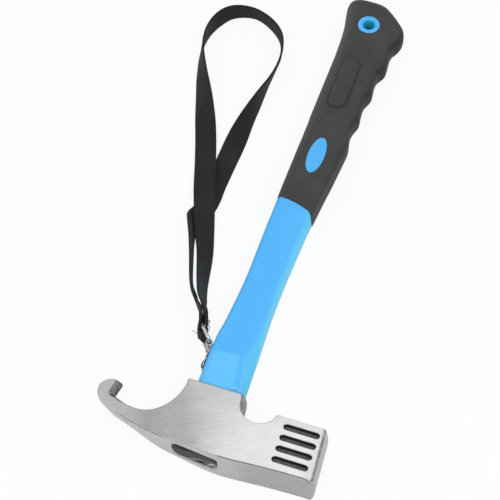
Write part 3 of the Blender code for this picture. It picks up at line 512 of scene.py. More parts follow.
class Finish(NodeBench):
    """Procedural finish: a Principled shader and the wires that feed it."""

    def __init__(self, name, constants):
        self.material = bpy.data.materials.new(name)
        self.material.use_nodes = True
        super().__init__(self.material.node_tree)
        self.shader = self.tree.nodes["Principled BSDF"]
        for socket, value in constants.items():
            self.shader.inputs[socket].default_value = value
        self.place = self.node("ShaderNodeTexCoord", {}, {}, "Object")

    def grain(self, size, turn=0.0, detail=2.0, source=None):
        """Noise whose spots have a size in metres, turned about Z."""
        spot = (size, size, size) if isinstance(size, float) else size
        laid = self.node(
            "ShaderNodeMapping", {"vector_type": "TEXTURE"},
            {"Vector": source or self.place, "Rotation": (0, 0, turn), "Scale": spot})
        return self.node(
            "ShaderNodeTexNoise", {}, {"Vector": laid, "Scale": 1.0, "Detail": detail, "Roughness": 0.55})

    def facing(self):
        """The three numbers of the way that the surface faces."""
        return self.split(self.node("ShaderNodeTexCoord", {}, {}, "Normal"))

    def painted(self):
        """What the piece's own surface attribute holds."""
        return self.node("ShaderNodeAttribute", {"attribute_name": "surface"}, {}, "Vector")

    def raised(self, height, distance):
        """Bump of a height that runs from 0 to 1 over a distance in metres."""
        self.feed("Normal", self.node("ShaderNodeBump", {}, {"Height": height, "Distance": distance}))

    def feed(self, socket, wire):
        """Link a wire to the shader."""
        self.tree.links.new(wire.socket, self.shader.inputs[socket])


def tinted(colour, share):
    """A colour made lighter or darker."""
    return tuple(min(channel * share, 1.0) for channel in colour)


# Finishes

def forged_steel(look):
    """Satin ground steel with grinding lines, blotches and fine pits. Painted reflection makes it brighter on
    the block's sides, the crown's face towards the hook and the striking face, and painted shade darkens the
    hook's tip.
    """
    steel = Finish("forged_steel", {"Metallic": 1.0})
    lines = steel.grain((15 * MM, 0.6 * MM, 0.9 * MM), math.radians(27), 3.0)
    fine = steel.grain((6 * MM, 0.25 * MM, 0.4 * MM), math.radians(23), 1.0)
    blotch = steel.grain(11 * MM, 0.0, 4.0)
    pits = steel.eased(steel.grain(0.9 * MM, 0.0, 3.0), 0.62, 0.78)
    shade = steel.eased(blotch * 0.25 + lines * 0.45 + fine * 0.3, 0.36, 0.64)
    along, up, high = steel.split(steel.place)

    def past(start, end):
        """0 before one place along the head and 1 after another, in millimetres from the neck."""
        return steel.eased(along, NECK.x + start * MM, NECK.x + end * MM)

    level = steel.unsigned(high - NECK.z)
    # Painted reflection: the block's sides take the lit copy of the steel, less next to the striking face and
    # towards the neck
    block = past(-8, 26) * steel.eased(level, HALF_HEAD - 0.7 * MM, HALF_HEAD - 0.2 * MM)
    block = block * (1 - 0.55 * past(54, 62))
    block = block * (1 - 0.45 * steel.eased(up, NECK.y - 13 * MM, NECK.y - 5 * MM))
    # Painted reflection: the crown's face is brighter towards the hook, and the striking face is brighter too
    facing = steel.facing()
    crown = steel.eased(0 - facing[1], 0.35, 0.75) * (1 - past(2, 40))
    struck = 0.35 * steel.eased(facing[0], 0.75, 0.95) * past(50, 58)
    # Painted shade: the hook's tip is darker
    tip = 1 - past(-54, -38)
    # dull and bright are shaded and lit copies of the steel, each varied by the grinding's own tone
    dull = steel.mixed(shade, tinted(look.steel, 0.78), tinted(look.steel, 0.98))
    bright = steel.mixed(shade, tinted(look.steel, 1.05), tinted(look.steel, 1.24))
    ground = steel.mixed(block.at_least(crown).at_least(struck), dull, bright)
    colour = steel.mixed(tip * 0.1, ground, tinted(look.steel, 0.62))
    steel.feed("Base Color", steel.mixed(pits * 0.35, colour, tinted(look.steel, 0.5)))
    steel.feed("Roughness", 0.25 + 0.14 * lines + 0.08 * blotch)
    steel.raised(lines * 0.6 + fine * 0.4 - pits * 0.3, 0.02 * MM)
    return steel


def forging_skin_and_edge_shade(look):
    """Unground forging skin on the throat, the hook's inside, the neck's sides and some corners, darkest on
    the hook and along the crown's edge as painted shade.
    """
    skin = Finish("forging_skin_and_edge_shade", {"Metallic": 0.9})
    scale = skin.grain(0.7 * MM, 0.0, 4.0)
    broad = skin.grain(3 * MM, 0.0, 3.0)
    flake = skin.eased(scale * 0.6 + broad * 0.4, 0.4, 0.62)
    along, up = skin.split(skin.place)[:2]
    crown_y = NECK.y - CROWN_DEPTH
    # Painted shade: the skin is darkest on the hook's inside and in a thin band along the crown's edge
    hook = 1 - skin.eased(along, NECK.x - 49 * MM, NECK.x - 42 * MM)
    low = 1 - skin.eased(up, crown_y + 1.4 * MM, crown_y + 2 * MM)
    hook = hook.at_least(low)
    dark = skin.mixed(hook, tinted(look.steel, 0.46), tinted(look.steel, 0.22))
    pale = skin.mixed(hook, tinted(look.steel, 0.9), tinted(look.steel, 0.5))
    skin.feed("Base Color", skin.mixed(flake, dark, pale))
    skin.feed("Roughness", 0.4 + 0.25 * scale)
    skin.raised(scale * 0.7 + broad * 0.3, 0.14 * MM)
    return skin


def eye_wall(look):
    """Wall of the eye: dull brown-grey inside, with bright score lines near the mouth."""
    wall = Finish("eye_wall", {"Roughness": 0.5, "Specular IOR Level": 0.3})
    along, up = wall.split(wall.place)[:2]
    crown_y = NECK.y - CROWN_DEPTH
    mouth = 1 - wall.eased(up, crown_y + 0.6 * MM, crown_y + 2.6 * MM)
    right = wall.eased(along, NECK.x - 4 * MM, NECK.x + 3 * MM)
    score = wall.grain((6 * MM, 0.5 * MM, 0.5 * MM), math.radians(4), 2.0)
    cloud = wall.grain(2.2 * MM, 0.0, 3.0)
    inner = wall.mixed(cloud, tinted(look.resin, 1.35), tinted(look.steel, 0.36))
    scored = wall.eased(score, 0.47, 0.56) * right
    outer = wall.mixed(scored, tinted(look.resin, 0.25), tinted(look.steel, 1.6))
    wall.feed("Base Color", wall.mixed(mouth, inner, outer))
    wall.raised(score * 0.7 + cloud * 0.3, 0.12 * MM)
    return wall


def groove_paint(look):
    """Black paint brushed into the grooves, paler on the floor as painted light, with patches where the thin
    paint shows the milled steel.
    """
    paint = Finish("groove_paint", {"Coat Weight": 0.15})
    height = paint.unsigned(paint.split(paint.place)[2] - NECK.z)
    bottom = HALF_HEAD - look.groove_depth
    # Painted light: the groove's floor is paler than its walls, where it catches the light; noise patches on
    # it are thin paint over the milled steel
    floor = 1 - paint.eased(height, bottom + 0.05 * MM, bottom + 0.3 * MM)
    milled = paint.grain((3 * MM, 0.18 * MM, 1 * MM), math.radians(-38), 2.0)
    thin = paint.eased(paint.grain(2.5 * MM, 0.0, 3.0) * 0.5 + milled * 0.5, 0.4, 0.62) * floor
    bare = floor * 0.25 + thin * 0.7
    paint.feed("Base Color", paint.mixed(bare, look.groove_paint, tinted(look.steel, 0.34)))
    paint.feed("Metallic", thin * 0.4)
    paint.feed("Roughness", 0.42 + 0.2 * milled)
    paint.raised(milled, 0.03 * MM)
    return paint


def bedding_resin(look):
    """Cast dark resin with glass fibres lying in it."""
    resin = Finish("bedding_resin", {"Coat Weight": 0.2})
    fibres = resin.grain((7 * MM, 3 * MM, 0.3 * MM), math.radians(12), 2.0)
    cloud = resin.grain(3.5 * MM, 0.0, 3.0)
    light = resin.eased(fibres * 0.7 + cloud * 0.3, 0.45, 0.68)
    resin.feed("Base Color", resin.mixed(light, tinted(look.resin, 0.35), tinted(look.resin, 3.0)))
    resin.feed("Roughness", 0.35 + 0.25 * cloud)
    resin.raised(fibres * 0.7 + cloud * 0.3, 0.25 * MM)
    return resin


def shaded_bore_plastic():
    """The shaft's plastic inside the hang hole, a darker, greener teal as painted shade on the hole's wall.
    """
    plastic = Finish("shaded_bore_plastic", {"Roughness": 0.3, "Specular IOR Level": 0.3})
    flow = plastic.grain((1.5 * MM, 1.5 * MM, 9 * MM), 0.0, 3.0)
    # Painted shade: both teals are darkened copies of the shaft's blue
    plastic.feed("Base Color", plastic.mixed(flow, (0.025, 0.38, 0.6), (0.06, 0.52, 0.78)))
    plastic.raised(flow, 0.03 * MM)
    return plastic


def core_glass():
    """Pulled glass rod: straight fibres along the handle."""
    glass = Finish("core_glass", {"Roughness": 0.5})
    fibres = glass.grain((0.3 * MM, 30 * MM, 0.3 * MM), 0.0, 2.0)
    glass.feed("Base Color", glass.mixed(fibres, (0.55, 0.52, 0.38), (0.7, 0.68, 0.56)))
    glass.raised(fibres, 0.03 * MM)
    return glass


def shaft_plastic(look):
    """Semi-gloss moulded plastic with faint flow marks, a fine mould grain and light scuffs; the facet next
    to the neck, the right chamfers and the narrow sides are paler as painted highlights.
    """
    plastic = Finish("shaft_plastic", {"IOR": 1.5, "Specular IOR Level": 0.06})
    flow = plastic.grain((8 * MM, 40 * MM, 8 * MM), 0.0, 3.0)
    skin = plastic.grain(0.5 * MM, 0.0, 2.0)
    scuff = plastic.eased(plastic.grain((1.2 * MM, 9 * MM, 1.2 * MM), 0.3, 4.0), 0.6, 0.8)
    across, along = (part - start for part, start in zip(plastic.split(plastic.place)[:2], NECK))
    # Painted highlight: a paler patch on the facet next to the neck, weaker towards the left side
    ended = along - across * FACET_LEAN
    edge = across - (0 - along + 20 * MM).at_least(0) * 0.15
    neck_facet_highlight = 1 - plastic.eased(ended, FACET_END - 0.5 * MM, FACET_END + 0.6 * MM)
    neck_facet_highlight = neck_facet_highlight * (1 - plastic.eased(edge, 5.2 * MM, 6.8 * MM))
    neck_facet_highlight = neck_facet_highlight * (0.4 + 0.6 * plastic.eased(across, -9.5 * MM, -5.5 * MM))
    # Painted highlight on the right chamfers, carried by the shaft's surface attribute
    rim = plastic.split(plastic.painted())[0]
    colour = plastic.mixed(plastic.eased(flow, 0.3, 0.7), tinted(look.blue, 0.96), tinted(look.blue, 1.03))
    colour = plastic.mixed(neck_facet_highlight.at_least(rim) * 0.85 + rim * 0.15, colour, look.facet_highlight_blue)
    # Painted highlight: the narrow sides are a lighter blue
    side_highlight = plastic.unsigned(plastic.facing()[0])
    colour = plastic.mixed(plastic.eased(side_highlight, 0.72, 0.95) * 0.85, colour, look.side_highlight_blue)
    plastic.feed("Base Color", plastic.mixed(scuff * 0.06, colour, (0.7, 0.8, 0.9)))
    plastic.feed("Roughness", 0.24 + 0.08 * skin + 0.12 * scuff)
    plastic.raised(skin * 0.6 + flow * 0.4, 0.012 * MM)
    return plastic


def grip_rubber(look):
    """Matt moulded rubber with a fine spark grain, a little bloom and specks of dust, darker on the right
    side as painted shade and paler along the left edge as a painted highlight.
    """
    rubber = Finish("grip_rubber", {"IOR": 1.48, "Sheen Weight": 0.04, "Specular IOR Level": 0.28})
    spark = rubber.grain(0.32 * MM, 0.0, 2.0)
    bloom = rubber.grain(14 * MM, 0.0, 4.0)
    dust = rubber.eased(rubber.grain(1.1 * MM, 0.0, 4.0), 0.6, 0.85)
    cloud = rubber.eased(bloom, 0.3, 0.7)
    colour = rubber.mixed(cloud, tinted(look.rubber, 0.9), tinted(look.rubber, 1.14))
    # Painted shade: the grip's right side is darkened
    shaded_flank = rubber.split(rubber.painted())[0]
    colour = rubber.mixed(shaded_flank * 0.7, colour, tinted(look.rubber, 0.25))
    # Painted highlight: the edge turned to the left is paler
    left = rubber.eased(0 - rubber.facing()[0], 0.15, 0.75)
    colour = rubber.mixed(left * 0.6, colour, tinted(look.rubber, 2.2))
    rubber.feed("Base Color", rubber.mixed(dust * 0.12, colour, (0.16, 0.16, 0.16)))
    rubber.feed("Roughness", 0.5 + 0.14 * spark + 0.06 * bloom)
    rubber.raised(spark, 0.035 * MM)
    return rubber


def bright_plating(look, name, roughness, worn):
    """Plated steel with light scratches and a dull film in places."""
    plating = Finish(name, {"Metallic": 1.0})
    scratch = plating.grain((0.12 * MM, 3 * MM, 0.12 * MM), 0.5, 2.0)
    film = plating.eased(plating.grain(1.6 * MM, 0.0, 4.0), 0.5 - 0.12 * worn, 0.7 - 0.12 * worn)
    plating.feed("Base Color", plating.mixed(film * worn, look.plating, tinted(look.plating, 0.25)))
    plating.feed("Roughness", roughness + 0.1 * scratch + 0.18 * film)
    plating.raised(scratch, 0.01 * MM)
    return plating


def dark_screw():
    """Dark oiled screw steel with brown in the recesses."""
    steel = Finish("dark_screw", {"Metallic": 0.9})
    film = steel.grain(0.8 * MM, 0.0, 4.0)
    bare = steel.eased(film, 0.4, 0.65)
    steel.feed("Base Color", steel.mixed(bare, (0.07, 0.05, 0.04), (0.2, 0.19, 0.18)))
    steel.feed("Roughness", 0.34 + 0.25 * film)
    steel.raised(film, 0.03 * MM)
    return steel


def strap_webbing(look):
    """Ribbed polyester: yarns run along the strap and show between the ribs across it."""
    webbing = Finish("strap_webbing", {
        "Roughness": 0.8, "Sheen Weight": 0.1, "Sheen Roughness": 0.4, "Specular IOR Level": 0.3})
    weave = webbing.painted()
    across, rib = webbing.split(weave)[1:]
    yarn = webbing.node("ShaderNodeMath", {"operation": "SINE"}, {0: across * (math.tau / (0.62 * MM))})
    fibre = webbing.grain((3 * MM, 0.14 * MM, 1.0), 0.0, 2.0, weave)
    fuzz = webbing.grain(0.35 * MM, 0.0, 3.0)
    lit = webbing.eased(rib * 0.8 + yarn * 0.12 + fibre * 0.3, 0.15, 0.95)
    worn = webbing.grain(18 * MM, 0.0, 3.0)
    colour = webbing.mixed(lit, tinted(look.webbing, 0.4), tinted(look.webbing, 1.55))
    faded = webbing.eased(worn * 0.6 + fuzz * 0.4, 0.5, 0.75) * 0.25
    webbing.feed("Base Color", webbing.mixed(faded, colour, (0.07, 0.07, 0.07)))
    webbing.raised(yarn * 0.25 + fibre * 0.5 + fuzz * 0.25, 0.12 * MM)
    return webbing


def sewing_thread(look):
    """Twisted black thread."""
    thread = Finish("sewing_thread", {"Sheen Weight": 0.3})
    twist = thread.grain(0.25 * MM, 0.0, 2.0)
    thread.feed("Base Color", thread.mixed(twist, tinted(look.webbing, 0.5), tinted(look.webbing, 1.6)))
    thread.feed("Roughness", 0.5 + 0.2 * twist)
    thread.raised(twist, 0.08 * MM)
    return thread


def clear_resin():
    """Pale resin bead with fine bubbles."""
    resin = Finish("clear_resin", {"Roughness": 0.25, "Coat Weight": 0.1})
    bubbles = resin.grain(0.5 * MM, 0.0, 3.0)
    resin.feed("Base Color", resin.mixed(bubbles, (0.13, 0.56, 0.96), (0.34, 0.72, 1.0)))
    resin.raised(bubbles, 0.06 * MM)
    return resin


# Stage finishes

def seen_or_mirrored(bench):
    """Two wires: 1 for rays from the camera, and 1 for mirrored or refracted ones."""
    rays = bench.node("ShaderNodeLightPath", {}, {})
    camera, glossy, through = (
        Wire(bench.tree, rays.socket.node.outputs[name])
        for name in ("Is Camera Ray", "Is Glossy Ray", "Is Transmission Ray")
    )
    return camera, glossy.at_least(through)


def white_floor(look):
    """Pale floor that looks white to the camera and keeps a soft shadow."""
    floor = Finish("white_floor", {"Roughness": 0.9})
    speck = floor.grain(2 * MM, 0.0, 2.0)
    floor.feed("Base Color", floor.mixed(speck, tinted(look.floor, 0.99), look.floor))
    camera, mirrored = seen_or_mirrored(floor)
    strength = camera + mirrored * FLOOR_MIRRORED_GLOW
    glow = floor.node("ShaderNodeEmission", {}, {"Color": (1, 1, 1, 1), "Strength": strength})
    share = camera * FLOOR_GLOW + mirrored * FLOOR_MIRRORED_SHARE
    body = Wire(floor.tree, floor.shader.outputs[0])
    shown = floor.node("ShaderNodeMixShader", {}, {0: share, 1: body, 2: glow})
    floor.tree.links.new(shown.socket, floor.tree.nodes["Material Output"].inputs["Surface"])
    return floor.material


def white_sky(scene, look):
    """Even sky: soft light on the object, white where it is seen, and duller near the ground in the metal."""
    sky = bpy.data.worlds.new("white_sky")
    sky.use_nodes = True
    scene.world = sky
    bench = NodeBench(sky.node_tree)
    camera, mirrored = seen_or_mirrored(bench)
    way = bench.node("ShaderNodeTexCoord", {}, {}, "Generated")
    aside, ahead, up = bench.split(way)
    dome = look.horizon + (SKY_TOP - look.horizon) * bench.eased(up, 0.1, 0.8)
    dome = dome * (1 - 0.13 * bench.eased(0 - aside, 0.05, 0.6))
    dome = dome * (1 - 0.4 * bench.eased(aside, 0.35, 0.8))
    dome = dome * (1 - 0.45 * bench.eased(0 - ahead, 0.3, 0.8))
    strength = camera + mirrored * dome + (1 - camera.at_least(mirrored)) * look.sky
    ground = bench.tree.nodes["Background"]
    ground.inputs["Color"].default_value = (1, 1, 1, 1)
    bench.tree.links.new(strength.socket, ground.inputs["Strength"])


# Drawing helpers

def arc(centre, radius, start, end, steps):
    """Points on an arc, from start to end in degrees."""
    points = []
    for step in range(steps + 1):
        angle = math.radians(start + (end - start) * step / steps)
        across, up = radius * math.cos(angle), radius * math.sin(angle)
        points.append(Vector((centre[0] + across, centre[1] + up)))
    return points


def slot_outline(length, width, steps):
    """Outline with two straight sides and round ends, long in its first axis."""
    reach = (length - width) / 2
    return arc((reach, 0), width / 2, -90, 90, steps) + arc((-reach, 0), width / 2, 90, 270, steps)


def smooth_between(stations, steps):
    """Rows of numbers along a smooth curve through stations, with a number of steps to each span."""
    padded = [stations[0] * 2 - stations[1], *stations, stations[-1] * 2 - stations[-2]]
    rows = []
    for before, start, end, after in zip(padded, padded[1:], padded[2:], padded[3:]):
        for step in range(steps):
            t = step / steps
            rows.append(0.5 * (
                2 * start + (end - before) * t
                + (2 * before - 5 * start + 4 * end - after) * t ** 2
                + (3 * start - before - 3 * end + after) * t ** 3
            ))
    return [*rows, stations[-1]]


def eased(value, low, high):
    """0 below low, 1 above high and a smooth step between."""
    share = min(max((value - low) / (high - low), 0.0), 1.0)
    return share * share * (3 - 2 * share)


def new_verts(made):
    """The vertices that an operator made."""
    return [item for item in made["geom"] if isinstance(item, bmesh.types.BMVert)]


def bevelled(bm, edges, radius, segments, clamp):
    """Round edges off in place."""
    bmesh.ops.bevel(
        bm, geom=edges, offset=radius, offset_type="OFFSET", affect="EDGES", segments=segments,
        profile=0.5, material=-1, clamp_overlap=clamp)


def swept(sides, rows, place, capped=True, mark=None):
    """Tube whose vertices are put in place by row and side. Without caps its ends meet."""
    bm = bmesh.new()
    weave = bm.verts.layers.float_vector.new("surface") if mark else None
    bmesh.ops.create_cone(
        bm, cap_ends=capped, cap_tris=False, segments=sides, radius1=1, radius2=1, depth=1)
    spine = [edge for edge in bm.edges if abs(edge.verts[0].co.z - edge.verts[1].co.z) > 0.5]
    bmesh.ops.subdivide_edges(bm, edges=spine, cuts=rows - 1, use_grid_fill=True)
    for vert in bm.verts:
        row = round((vert.co.z + 0.5) * rows)
        side = round(math.atan2(vert.co.y, vert.co.x) / math.tau * sides) % sides
        vert.co = place(row, side)
        if mark:
            vert[weave] = mark(row, side)
    if not capped:
        bmesh.ops.remove_doubles(bm, verts=bm.verts, dist=MERGE)
    bmesh.ops.recalc_face_normals(bm, faces=bm.faces)
    return bm


def wire_along(points, radius, sides=8, closed=False):
    """Round wire along points, thinned at its ends where radius is a function of the row."""
    thickness = radius if callable(radius) else lambda row: radius
    count = len(points)
    frames = []
    side_way = None
    for index, point in enumerate(points):
        ahead = points[(index + 1) % count] if closed else points[min(index + 1, count - 1)]
        behind = points[index - 1] if closed or index else points[0]
        run = (ahead - behind).normalized()
        if side_way is None:
            side_way = run.orthogonal()
        side_way = (side_way - run * side_way.dot(run)).normalized()
        frames.append((point, side_way, run.cross(side_way)))

    def place(row, side):
        point, first, second = frames[row % count]
        angle = math.tau * side / sides
        return point + (first * math.cos(angle) + second * math.sin(angle)) * thickness(row)

    return swept(sides, count if closed else count - 1, place, not closed)


def prism(outline, low, high, lay=None):
    """Outline drawn in X and Y and pulled from low to high along Z."""
    bm = bmesh.new()
    face = bm.faces.new([bm.verts.new((point[0], point[1], low)) for point in outline])
    pulled = bmesh.ops.extrude_face_region(bm, geom=[face])
    bmesh.ops.translate(bm, verts=new_verts(pulled), vec=(0, 0, high - low))
    if lay:
        bmesh.ops.transform(bm, matrix=lay, verts=bm.verts)
    bmesh.ops.recalc_face_normals(bm, faces=bm.faces)
    return bm


def gathered(shapes):
    """One bmesh from several."""
    whole = bmesh.new()
    for shape in shapes:
        mesh = bpy.data.meshes.new("gathered")
        shape.to_mesh(mesh)
        shape.free()
        whole.from_mesh(mesh)
        bpy.data.meshes.remove(mesh)
    return whole


def bare_object(name, bm):
    """Object from a bmesh, which is freed."""
    mesh = bpy.data.meshes.new(name)
    bm.to_mesh(mesh)
    bm.free()
    made = bpy.data.objects.new(name, mesh)
    bpy.context.scene.collection.objects.link(made)
    return made


def carved(bm, cutters):
    """Bmesh with cutters taken out of it."""
    blank = bare_object("blank", bm)
    tools = [bare_object("cutter", cutter) for cutter in cutters]
    for tool in tools:
        step = blank.modifiers.new("cut", "BOOLEAN")
        step.operation = "DIFFERENCE"
        step.solver = "EXACT"
        step.object = tool
    worked = blank.evaluated_get(bpy.context.evaluated_depsgraph_get())
    result = bmesh.new()
    result.from_mesh(worked.to_mesh())
    worked.to_mesh_clear()
    for spent in (blank, *tools):
        mesh = spent.data
        bpy.data.objects.remove(spent, do_unlink=True)
        bpy.data.meshes.remove(mesh)
    if not result.faces:
        raise RuntimeError("a cut left nothing of its blank")
    return result


def finished(name, bm, finishes, node=None, body=None, crease=35):
    """Piece at the frame's origin from a bmesh drawn about the neck."""
    if not bm.faces:
        raise RuntimeError(f"{name} has no faces")
    bmesh.ops.translate(bm, verts=bm.verts, vec=NECK)
    made = bare_object(name, bm)
    for finish in finishes:
        made.data.materials.append(finish.material)
    made.data.shade_smooth()
    made.data.set_sharp_from_angle(angle=math.radians(crease))
    if node:
        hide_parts(node)
    if body:
        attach(made, body)
    return made


# Head shape

def taper_line(share, y):
    """Where the head has a given share of its taper, at a height between the crown and the neck."""
    rise = (y + CROWN_DEPTH) / CROWN_DEPTH
    start = TAPER_START_CROWN_X + (TAPER_START_NECK_X - TAPER_START_CROWN_X) * rise
    return TAPER_END_X + (start - TAPER_END_X) * share


def half_thickness_at(x, y):
    """Half the head's thickness: full behind the striking face, easing down to the hook."""
    share = min(max((x - TAPER_END_X) / (taper_line(1, y) - TAPER_END_X), 0), 1)
    softer = share ** 3 * (share * (share * 6 - 15) + 10)
    blend = softer * TAPER_SOFTNESS + share ** 2 * (3 - 2 * share) * (1 - TAPER_SOFTNESS)
    fuller = ARM_FULLNESS * math.exp(-((x - ARM_X) / ARM_REACH) ** 2)
    return min(HALF_HOOK + (HALF_HEAD - HALF_HOOK) * blend + fuller, HALF_HEAD)


def crown_rise(x):
    """How far the crown's arc has risen at a place along the head."""
    return CROWN_RADIUS - math.sqrt(CROWN_RADIUS ** 2 - min(x - CROWN_FLAT_END_X, 0) ** 2)


def crown_sag(x):
    """How far the crown lies off its arc: low beside the eye and under the arm, raised at the face."""
    beside_eye = CROWN_SAG * math.exp(-((x - CROWN_SAG_X) / CROWN_SAG_REACH) ** 2)
    under_arm = ARM_FULLNESS * ARM_SAG * math.exp(-((x - ARM_X) / ARM_REACH) ** 2)
    return FACE_RISE * eased(x, FACE_RISE_START_X, FACE_RISE_END_X) - beside_eye - under_arm


def head_outline():
    """Side outline of the head from the neck's right, as points with their bulge at mid thickness."""
    throat_x = -NECK_LEFT - THROAT_RADIUS
    hook_x = HOOK_OUTER_RADIUS - HOOK_REACH
    crown_centre_y = CROWN_RADIUS - CROWN_DEPTH
    to_hook = CROWN_RADIUS - HOOK_OUTER_RADIUS
    hook_y = crown_centre_y - math.sqrt(to_hook ** 2 - (hook_x - CROWN_FLAT_END_X) ** 2)
    tangent = math.degrees(math.atan2(hook_y - crown_centre_y, hook_x - CROWN_FLAT_END_X))
    inner_x = HOOK_FINGER_WIDTH - HOOK_REACH
    bed_end = math.degrees(math.asin((inner_x + HOOK_CORNER - throat_x) / THROAT_BED_RADIUS)) - 90
    shoulder = math.degrees(math.asin((NOTCH_CENTRE_DEPTH - BLOCK_SHOULDER_DEPTH) / NOTCH_RADIUS))

    throat = [Vector((NECK_RIGHT, 0)), Vector((-NECK_LEFT, 0))]
    throat += arc((throat_x, THROAT_RADIUS - THROAT_DEPTH), THROAT_RADIUS, 0, -90, 26)[1:]
    throat += arc((throat_x, THROAT_BED_RADIUS - THROAT_DEPTH), THROAT_BED_RADIUS, -90, bed_end, 9)[1:]
    finger = arc((inner_x + HOOK_CORNER, throat[-1].y + HOOK_CORNER), HOOK_CORNER, 250, 180, 5)
    tip = Vector((inner_x + HOOK_TIP_DROP, hook_y + HOOK_OUTER_RADIUS - HOOK_TIP_DROP))
    finger += [finger[-1].lerp(tip, step / 6) for step in range(1, 7)]
    back = arc((hook_x, hook_y), HOOK_OUTER_RADIUS, 97, 360 + tangent, 34)
    finger += [tip.lerp(back[0], step / 4) for step in range(1, 4)]
    back += arc((CROWN_FLAT_END_X, crown_centre_y), CROWN_RADIUS, tangent, -90, 30)[1:]
    back += [back[-1].lerp(Vector((STRIKE_REACH, -CROWN_DEPTH)), step / 12) for step in range(1, 13)]
    back.append(Vector((STRIKE_REACH, -BLOCK_SHOULDER_DEPTH)))
    notch_x = NECK_RIGHT + NOTCH_SHIFT + NOTCH_RADIUS
    back += arc((notch_x, -NOTCH_CENTRE_DEPTH), NOTCH_RADIUS, shoulder, -180, 30)

    outline = []
    for point in throat:
        near = 1 - eased(point.x, inner_x, inner_x + HOOK_FADE)
        outline.append((point, neck_bulge(point) + Vector((0, HOOK_EDGE * BED_EDGE * near, 0))))
    for step, point in enumerate(finger):
        turned = min(step / 5, 1)
        outline.append((point, Vector((HOOK_EDGE * turned, HOOK_EDGE * BED_EDGE * (1 - turned), 0))))
    for step, point in enumerate(back):
        outward = (point - Vector((hook_x, hook_y))).normalized()
        lower = eased(-outward.y, -0.2, 0.6)
        beyond = 1 - eased(point.x, hook_x - 6 * MM, hook_x + WEAR_FADE)
        worn = HOOK_WEAR * beyond * (0.25 + 0.75 * lower)
        bulge = neck_bulge(point) + Vector((outward.x, outward.y, 0)) * worn * (1 - 0.55 * lower)
        bulge.x += HOOK_EDGE * max(0.75 - 0.25 * step, 0)
        outline.append((point - outward * worn, bulge))
    return outline


def neck_bulge(point):
    """How far the neck's sides swell at mid thickness, fading out towards the crown."""
    fade = 1 - min(-point.y / NECK_BULGE_DEPTH, 1)
    near = -NECK_LEFT - NECK_BULGE_DEPTH < point.x < NECK_RIGHT + NECK_BULGE_DEPTH
    bulge = NECK_BULGE if point.x > 0 else -NECK_LEFT_BULGE
    return Vector((bulge * fade, 0, 0)) if near else Vector((0, 0, 0))


def head_blank(look):
    """The forging before its eye and grooves."""
    bm = bmesh.new()
    swell = bm.verts.layers.float_vector.new("swell")
    ring = []
    for point, bulge in head_outline():
        vert = bm.verts.new((point.x, point.y, -1))
        vert[swell] = bulge
        ring.append(vert)
    pulled = bmesh.ops.extrude_face_region(bm, geom=[bm.faces.new(ring)])
    bmesh.ops.translate(bm, verts=new_verts(pulled), vec=(0, 0, 2))
    upright = [edge for edge in bm.edges if abs(edge.verts[0].co.z - edge.verts[1].co.z) > 1]
    bmesh.ops.subdivide_edges(bm, edges=upright, cuts=7, use_grid_fill=True)
    for vert in bm.verts:
        rounded = 1 - abs(vert.co.z) ** 1.7
        if vert.co.x > SHARP_SWELL_X:
            rounded = math.sqrt(1 - vert.co.z ** 2)
        vert.co += vert[swell] * rounded
    for step in range(TAPER_STEPS + 1):
        share = step / TAPER_STEPS
        crown = Vector((taper_line(share, -CROWN_DEPTH), -CROWN_DEPTH, 0))
        neck = Vector((taper_line(share, 0), 0, 0))
        bmesh.ops.bisect_plane(
            bm, geom=[*bm.verts, *bm.edges, *bm.faces], dist=MERGE,
            plane_co=crown, plane_no=(neck - crown).cross(Vector((0, 0, 1))))
    bmesh.ops.remove_doubles(bm, verts=bm.verts, dist=0.12 * MM)
    bmesh.ops.recalc_face_normals(bm, faces=bm.faces)
    block_start = NECK_RIGHT + NOTCH_SHIFT + 2 * NOTCH_RADIUS
    block_middle = -(BLOCK_SHOULDER_DEPTH + CROWN_DEPTH) / 2
    for vert in bm.verts:
        vert.co.z *= half_thickness_at(vert.co.x, vert.co.y)
        vert.co.y += crown_sag(vert.co.x) * eased(-vert.co.y, 0.5 * CROWN_DEPTH, CROWN_DEPTH)
        reach = max(vert.co.x - block_start, 0) / (STRIKE_REACH - block_start)
        vert.co.x -= STRIKE_SLANT * reach * (vert.co.y - block_middle)
        vert.co.x += STRIKE_CROWN * eased(reach, 0.97, 1) * (1 - (vert.co.z / HALF_HEAD) ** 2)
    bm.normal_update()
    struck = {
        edge for face in bm.faces if face.normal.x > 0.9 and face.calc_center_median().x > STRIKE_EDGE_X
        for edge in face.edges}
    rim = [edge for edge in struck if edge.calc_face_angle(0) > math.radians(45)]
    bevelled(bm, rim, look.face_radius, 4, True)
    bm.normal_update()
    sharp = []
    for edge in bm.edges:
        flats = [abs(face.normal.z) for face in edge.link_faces]
        ground = all(BEVEL_START_X < vert.co.x < STRIKE_REACH - 2.5 * MM for vert in edge.verts)
        if ground and edge.calc_face_angle(0) > math.radians(40) and min(flats) < 0.75 < max(flats):
            sharp.append(edge)
    bevelled(bm, sharp, look.edge_radius, 3, False)
    return bm


def eye_outline(margin):
    """The eye's mouth: blunt towards the striking face and rounder towards the hook."""
    length, width = EYE_LENGTH / 2 + margin, EYE_WIDTH / 2 + margin
    points = []
    for side, turn in ((1, -90), (1, 0), (-1, 90), (-1, 180)):
        corner = EYE_FACE_CORNER if side > 0 else EYE_HOOK_CORNER
        above = 1 if turn in (0, 90) else -1
        points += arc((side * (length - corner), above * (width - corner)), corner, turn, turn + 90, 8)
    return points


